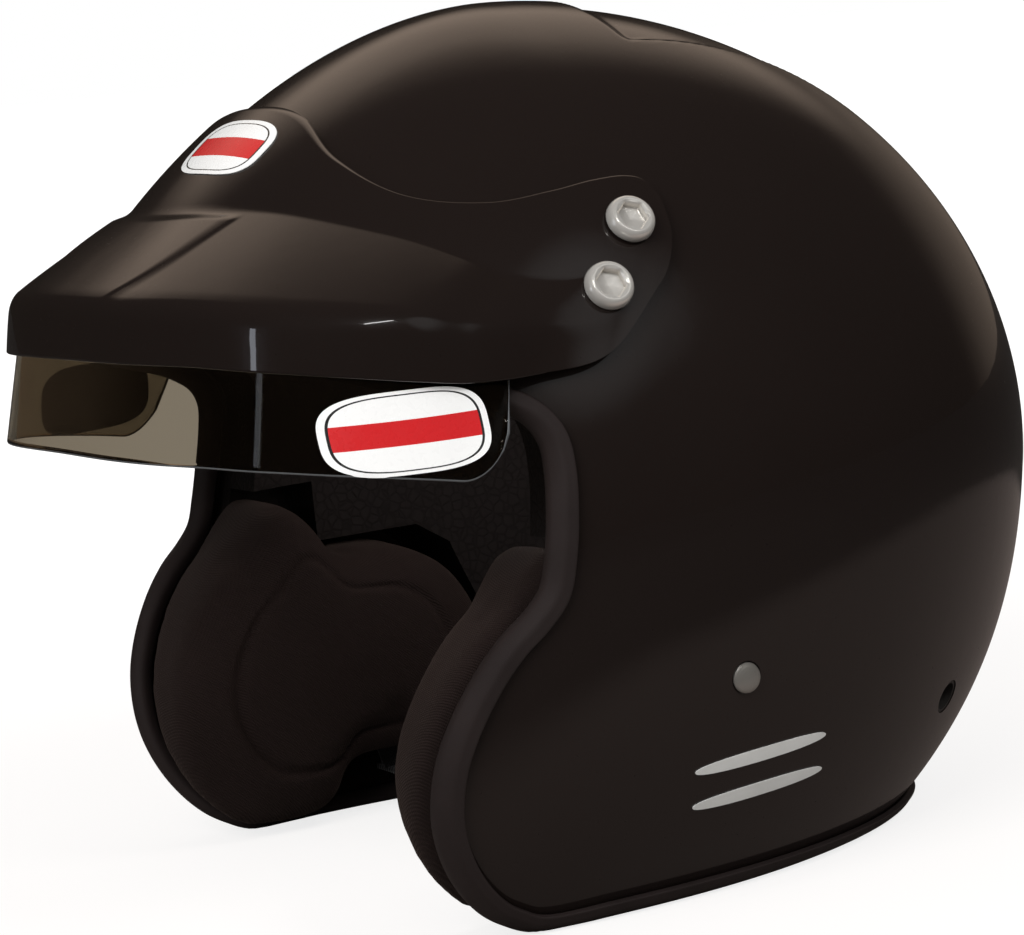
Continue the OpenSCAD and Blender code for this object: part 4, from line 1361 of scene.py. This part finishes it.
def button_screw(form, p, n):
    """Rings of a button-head screw with a hexagon socket."""
    r = form.head_d / 2
    shank, shank_end = 2.5, -13.4
    crown, seat, rise = 5.0, 0.5, 3.0
    twist = 12

    def hexagon(size):
        return lambda a: size / 2 / np.cos((a - math.radians(twist)) % (math.pi / 3) - math.pi / 6)

    dome = [(crown + (r - crown) * math.cos(t), seat + rise * math.sin(t))
            for t in np.radians(np.linspace(8, 90, 12))]
    profile = [(shank, shank_end), (shank, -0.1), (2.6, 0), (r - 0.4, 0), (r - 0.12, 0.1),
               (r, 0.35)]
    profile += dome
    profile += [(4.85, 3.49), (4.7, 3.44), (hexagon(form.hex_flats + 0.5), 3.25),
                (hexagon(form.hex_flats), 2.9), (hexagon(form.hex_flats), 1.25),
                (hexagon(form.hex_flats - 0.3), 1.1), (1.5, 0.8), (0.1, 0.62)]
    base = seat - form.peak_out
    return ring_solid(turned(profile, 96, p + n * base, n, twist))


class HELMET_OT_fasteners(bpy.types.Operator):
    """Builds the peak screws and finishes the other fasteners"""

    bl_idname = "helmet.fasteners"
    bl_label = "Fasteners"

    def execute(self, context):
        form = Form(context)
        parts = [button_screw(form, p, n) for p, n in spots(form, SCREW_SPOTS)]
        screws = joined("button_head_screws", parts, finish(context, "satin_steel"), 32)
        settle(screws, ["peak_screws"])
        kept = {
            "spacer_nylon": ("peak_spacers",),
            "dull_steel": ("peak_nuts", "strap_rivets", "strap_anchors", "strap_snap",
                           "cheek_snaps_left", "cheek_snaps_right"),
            "polished_steel": ("d_ring_upper", "d_ring_lower"),
            "black_steel": ("restraint_inserts",),
        }
        for name, nodes in kept.items():
            for node in nodes:
                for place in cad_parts[node].material_slots:
                    place.material = finish(context, name)
        return {"FINISHED"}


# Chin strap

def strap_band(form, path):
    """A rounded band of webbing along a path in the x-z plane, with its map in millimetres."""
    fine = spline(path, 6)
    step = np.linalg.norm(np.diff(fine, axis=0), axis=1)
    keep = np.concatenate([[True], step > 0.05])
    fine = fine[keep]
    s = np.concatenate([[0], np.cumsum(np.linalg.norm(np.diff(fine, axis=0), axis=1))])
    even = np.linspace(0, s[-1], int(s[-1] / 1.4))
    fine = np.column_stack([np.interp(even, s, fine[:, i]) for i in range(2)])
    t = unit(np.gradient(fine, axis=0))
    nrm = np.column_stack([-t[:, 1], t[:, 0]])
    half, thick = form.strap_w / 2, form.strap_t / 2
    front = [(w * half, thick) for w in np.linspace(-0.94, 0.94, 13)]
    front += [(half * 0.985, thick * 0.72), (half, 0), (half * 0.985, -thick * 0.72)]
    across = np.array(front + [(-y, -h) for y, h in front])
    rings = []
    for (x, z), (nx, nz) in zip(fine, nrm):
        rings.append([(x + nx * h, STRAP_Y + y, z + nz * h) for y, h in across])
    maps = [(d, y) for d in even for y, _ in across]
    points, faces = ring_solid(rings)
    return points, faces, maps


def arc(centre, r, a0, a1, n):
    """Points along an arc, its angles in degrees."""
    a = np.radians(np.linspace(a0, a1, n + 1))
    return [(centre[0] + r * math.cos(t), centre[1] + r * math.sin(t)) for t in a]


class HELMET_OT_chin_strap(bpy.types.Operator):
    """Builds the two halves of the chin strap"""

    bl_idname = "helmet.chin_strap"
    bl_label = "Chin Strap"

    def execute(self, context):
        form = Form(context)
        t = form.strap_t
        strap_z = 10.0
        anchor_x = float(form.side_x(STRAP_Y + 13, PIVOT_Z - 13, form.skin)) - 0.8
        strap_x = anchor_x - 1.5 - t / 2 - 0.02
        top = PIVOT_Z - 8.6
        bend = 6.2

        def drop(z):
            """From an anchor down the inside of the shell and round to level z."""
            wall = [(float(form.side_x(STRAP_Y + 14, h, form.skin)) - 3, h)
                    for h in (41, 35, 29, 23, 18)]
            turn_x = float(form.side_x(STRAP_Y + 14, 16, form.skin)) - 10.5
            return [(strap_x, top), (strap_x, top - 6)] + wall + \
                arc((turn_x, z + bend), bend, -15, -90, 5)

        wire = 1.5
        wrap = wire + 0.8 + t / 2
        loop_r = wire + 0.3 + t / 2
        ring_x, ring_length = 24.2, 19.5
        low = np.array((ring_x, strap_z + 0.3 + t + wrap))
        high = low + (5.8, 3.6)
        low_bar = low + (ring_length, 0)
        high_bar = high + (ring_length, 0)
        z = strap_z + 1
        tail = z + t + 0.1
        left = drop(z) + [(56, z)] + arc(low_bar, loop_r, 270, 122, 7) + \
            arc(high_bar, loop_r, 122, 38, 4) + [(57, tail), (65, tail)]
        turn_r = (high[1] + wrap - strap_z) / 2
        tail_z = low[1] - wrap
        right = [(-x, h) for x, h in drop(strap_z)] + \
            arc((high[0] + 1.2, strap_z + turn_r), turn_r, -90, 90, 12) + \
            arc(high, wrap, 90, 191.4, 8) + arc(low, wrap, 11.4, -90, 8) + \
            [(6, tail_z), (-20, tail_z)]
        for name, path, node in (("strap_webbing_left", left, "chin_strap_left"),
                                 ("strap_webbing_right", right, "chin_strap_right")):
            points, faces, maps = strap_band(form, path)
            strap = make(name, points, faces, finish(context, "woven_webbing"), 60)
            layer = strap.data.uv_layers.new(name="Weave")
            for loop in strap.data.loops:
                layer.data[loop.index].uv = maps[loop.vertex_index]
            settle(strap, [node], "chin_strap")
        return {"FINISHED"}


# Stage

WHITE = (1, 1, 1)
WARM = (1, 0.78, 0.62)


def lamp(name, size, power, spot, aim, along=(1, 0, 0), tone=WHITE, mirrored=True):
    """A flat lamp whose first side lies along a direction; not mirrored, it only lights."""
    data = bpy.data.lights.new(name, "AREA")
    data.shape = "RECTANGLE"
    data.size, data.size_y = size
    data.energy = power
    data.color = tone
    obj = bpy.data.objects.new(name, data)
    behind = (Vector(spot) - Vector(aim)).normalized()
    side = (Vector(along) - behind * behind.dot(Vector(along))).normalized()
    turn = Matrix((side, behind.cross(side), behind)).transposed().to_4x4()
    obj.matrix_world = Matrix.Translation(spot) @ turn
    obj.visible_glossy = mirrored
    obj.visible_transmission = mirrored
    bpy.context.scene.collection.objects.link(obj)


def bulb(name, radius, power, spot):
    """A small round lamp that no surface mirrors."""
    data = bpy.data.lights.new(name, "POINT")
    data.energy = power
    data.shadow_soft_size = radius
    obj = bpy.data.objects.new(name, data)
    obj.location = spot
    obj.visible_glossy = False
    obj.visible_transmission = False
    bpy.context.scene.collection.objects.link(obj)


def studio_camera():
    """The camera at the photograph's viewing angle."""
    data = bpy.data.cameras.new("camera")
    data.lens = 125.26
    data.sensor_width = 36
    view = bpy.data.objects.new("camera", data)
    right = Vector((0.45893, 0.88174, -0.10914))
    up = Vector((-0.05601, 0.15131, 0.9869))
    behind = Vector((0.8867, -0.44681, 0.11883))
    turn = Matrix((right, up, behind)).transposed().to_4x4()
    view.matrix_world = Matrix.Translation((0.92884, -0.47706, 0.23575)) @ turn
    bpy.context.scene.collection.objects.link(view)
    bpy.context.scene.camera = view


def floor_finish():
    """A grey floor that the camera sees as white away from the object's shadow."""
    f = Finish("studio_floor")
    ray = f.node("ShaderNodeLightPath").outputs
    tone = f.tint(f.noise(3, 2), (0.19, 0.175, 0.165), (0.21, 0.19, 0.18))
    off = f.vector_math("SUBTRACT", f.place, (-0.05, 0.2, 0))["Vector"]
    past = f.ramp(f.vector_math("LENGTH", off)["Value"], 0.34, 0.43)
    mirrored = f.tint(past, (0.15, 0.122, 0.11), (0.03, 0.026, 0.024))
    tone = f.tint(ray["Is Glossy Ray"], tone, mirrored)
    seen = f.math("MAXIMUM", ray["Is Camera Ray"], ray["Is Transmission Ray"])
    glow = f.ramp(f.vector_math("LENGTH", f.place)["Value"], 0.2, 1.0, 0.8, 1.0)
    return f.set(Base_Color=tone, Roughness=0.9, Specular_IOR_Level=0.1,
                 Emission_Color=WHITE, Emission_Strength=f.math("MULTIPLY", seen, glow))


WARM_BOX_AT = (-0.78, 0.38, 0.5)
LOW_GLOW_AT = (-0.5, 0.86, 0.1)
WHITE_BOX_AT = (0.715, 0.268, 0.64)
DARK_ROOM = 0.012


def studio_world(soft, rim, white, ambient):
    """Plain ambient light; mirrored, a warm softbox and a glow behind, a white one beside."""
    world = bpy.data.worlds.new("studio")
    world.use_nodes = True
    f = Wiring(world.node_tree)
    f.tree.nodes.clear()
    ray = f.node("ShaderNodeLightPath").outputs
    place = f.node("ShaderNodeTexCoord").outputs["Generated"]

    def toward(direction):
        return f.vector_math("DOT_PRODUCT", place, direction)["Value"]

    height = toward((0, 0, 1))
    beside = toward(WHITE_BOX_AT)
    box = f.ramp(toward(WARM_BOX_AT), 0.78, 0.96, 0, soft)
    box = f.math("MULTIPLY", box, f.ramp(height, 0.3, 0.5))
    box = f.math("MULTIPLY", box, f.ramp(height, 0.72, 0.88, 1, 0.6))
    glow = f.math("ADD", box, f.ramp(toward(LOW_GLOW_AT), 0.88, 1, 0, rim))
    glow = f.math("ADD", glow, f.ramp(beside, 0.94, 0.985, 0, white))
    glow = f.math("ADD", glow, DARK_ROOM)
    warm = f.math("MULTIPLY", ray["Is Glossy Ray"], f.ramp(beside, 0.93, 0.96, 1, 0))
    seen = f.math("MAXIMUM", ray["Is Camera Ray"], ray["Is Transmission Ray"])
    strength = f.level(ray["Is Glossy Ray"], ambient, glow)
    strength = f.level(seen, strength, 1.0)
    tone = f.tint(warm, WHITE, WARM)
    back = f.node("ShaderNodeBackground", Color=tone, Strength=strength)
    f.node("ShaderNodeOutputWorld", Surface=back.outputs[0])
    return world


class HELMET_OT_stage(bpy.types.Operator):
    """Sets the floor, the lamps and the camera"""

    bl_idname = "helmet.stage"
    bl_label = "Stage"

    def execute(self, context):
        side = 60000.0
        corners = [(-side, -side, 0), (side, -side, 0), (side, side, 0), (-side, side, 0)]
        make("studio_floor", corners, [[0, 1, 2, 3]], floor_finish())
        context.scene.world = studio_world(0.5, 0.16, 0.34, 0.72)
        context.scene.view_settings.view_transform = "Standard"
        lamp("fill_softbox", (1.2, 1.2), 26, (0.9, -1.5, 1.3), (0, 0, 0.1), mirrored=False)
        lamp("screw_softbox", (0.3, 0.3), 5, (0.95, 0.25, 0.95), (0.11, -0.02, 0.18),
             mirrored=False)
        lamp("front_strip", (0.3, 0.09), 0.36, (0.13, -1.5, 0.47), (0.09, -0.124, 0.166),
             (0, 0, 1), (0.85, 0.9, 1))
        lamp("ridge_strip", (0.45, 0.04), 1.2, (0.97, -0.44, 1.078), (0.111, -0.099, 0.168),
             (-0.3, 0.9, 0))
        bulb("head_room_lamp", 0.04, 0.35, (0, 0, 0.15))
        studio_camera()
        return {"FINISHED"}


class HELMET_PT_build(bpy.types.Panel):
    """Lists the steps that build the helmet"""

    bl_label = "Racing Helmet"
    bl_idname = "HELMET_PT_build"
    bl_space_type = "VIEW_3D"
    bl_region_type = "UI"
    bl_category = "Helmet"

    def draw(self, context):
        for step in STEPS:
            self.layout.operator(step.bl_idname)
        for group in (context.scene.helmet_sizes, context.scene.helmet_colours):
            box = self.layout.box()
            for key in type(group).__annotations__:
                box.prop(group, key)


STEPS = [
    HELMET_OT_outer_shell, HELMET_OT_liner, HELMET_OT_edge_trim, HELMET_OT_peak,
    HELMET_OT_eyeshade, HELMET_OT_labels, HELMET_OT_comfort_pads, HELMET_OT_cheek_pads,
    HELMET_OT_fasteners, HELMET_OT_chin_strap, HELMET_OT_stage,
]
CLASSES = [HelmetSizes, HelmetColours, *STEPS, HELMET_PT_build]


def register():
    for cls in CLASSES:
        bpy.utils.register_class(cls)
    bpy.types.Scene.helmet_sizes = PointerProperty(type=HelmetSizes)
    bpy.types.Scene.helmet_colours = PointerProperty(type=HelmetColours)


def unregister():
    del bpy.types.Scene.helmet_colours
    del bpy.types.Scene.helmet_sizes
    for cls in reversed(CLASSES):
        bpy.utils.unregister_class(cls)


def main():
    register()
    for step in STEPS:
        group, _, name = step.bl_idname.partition(".")
        getattr(getattr(bpy.ops, group), name)()


if __name__ == "__main__":
    main()
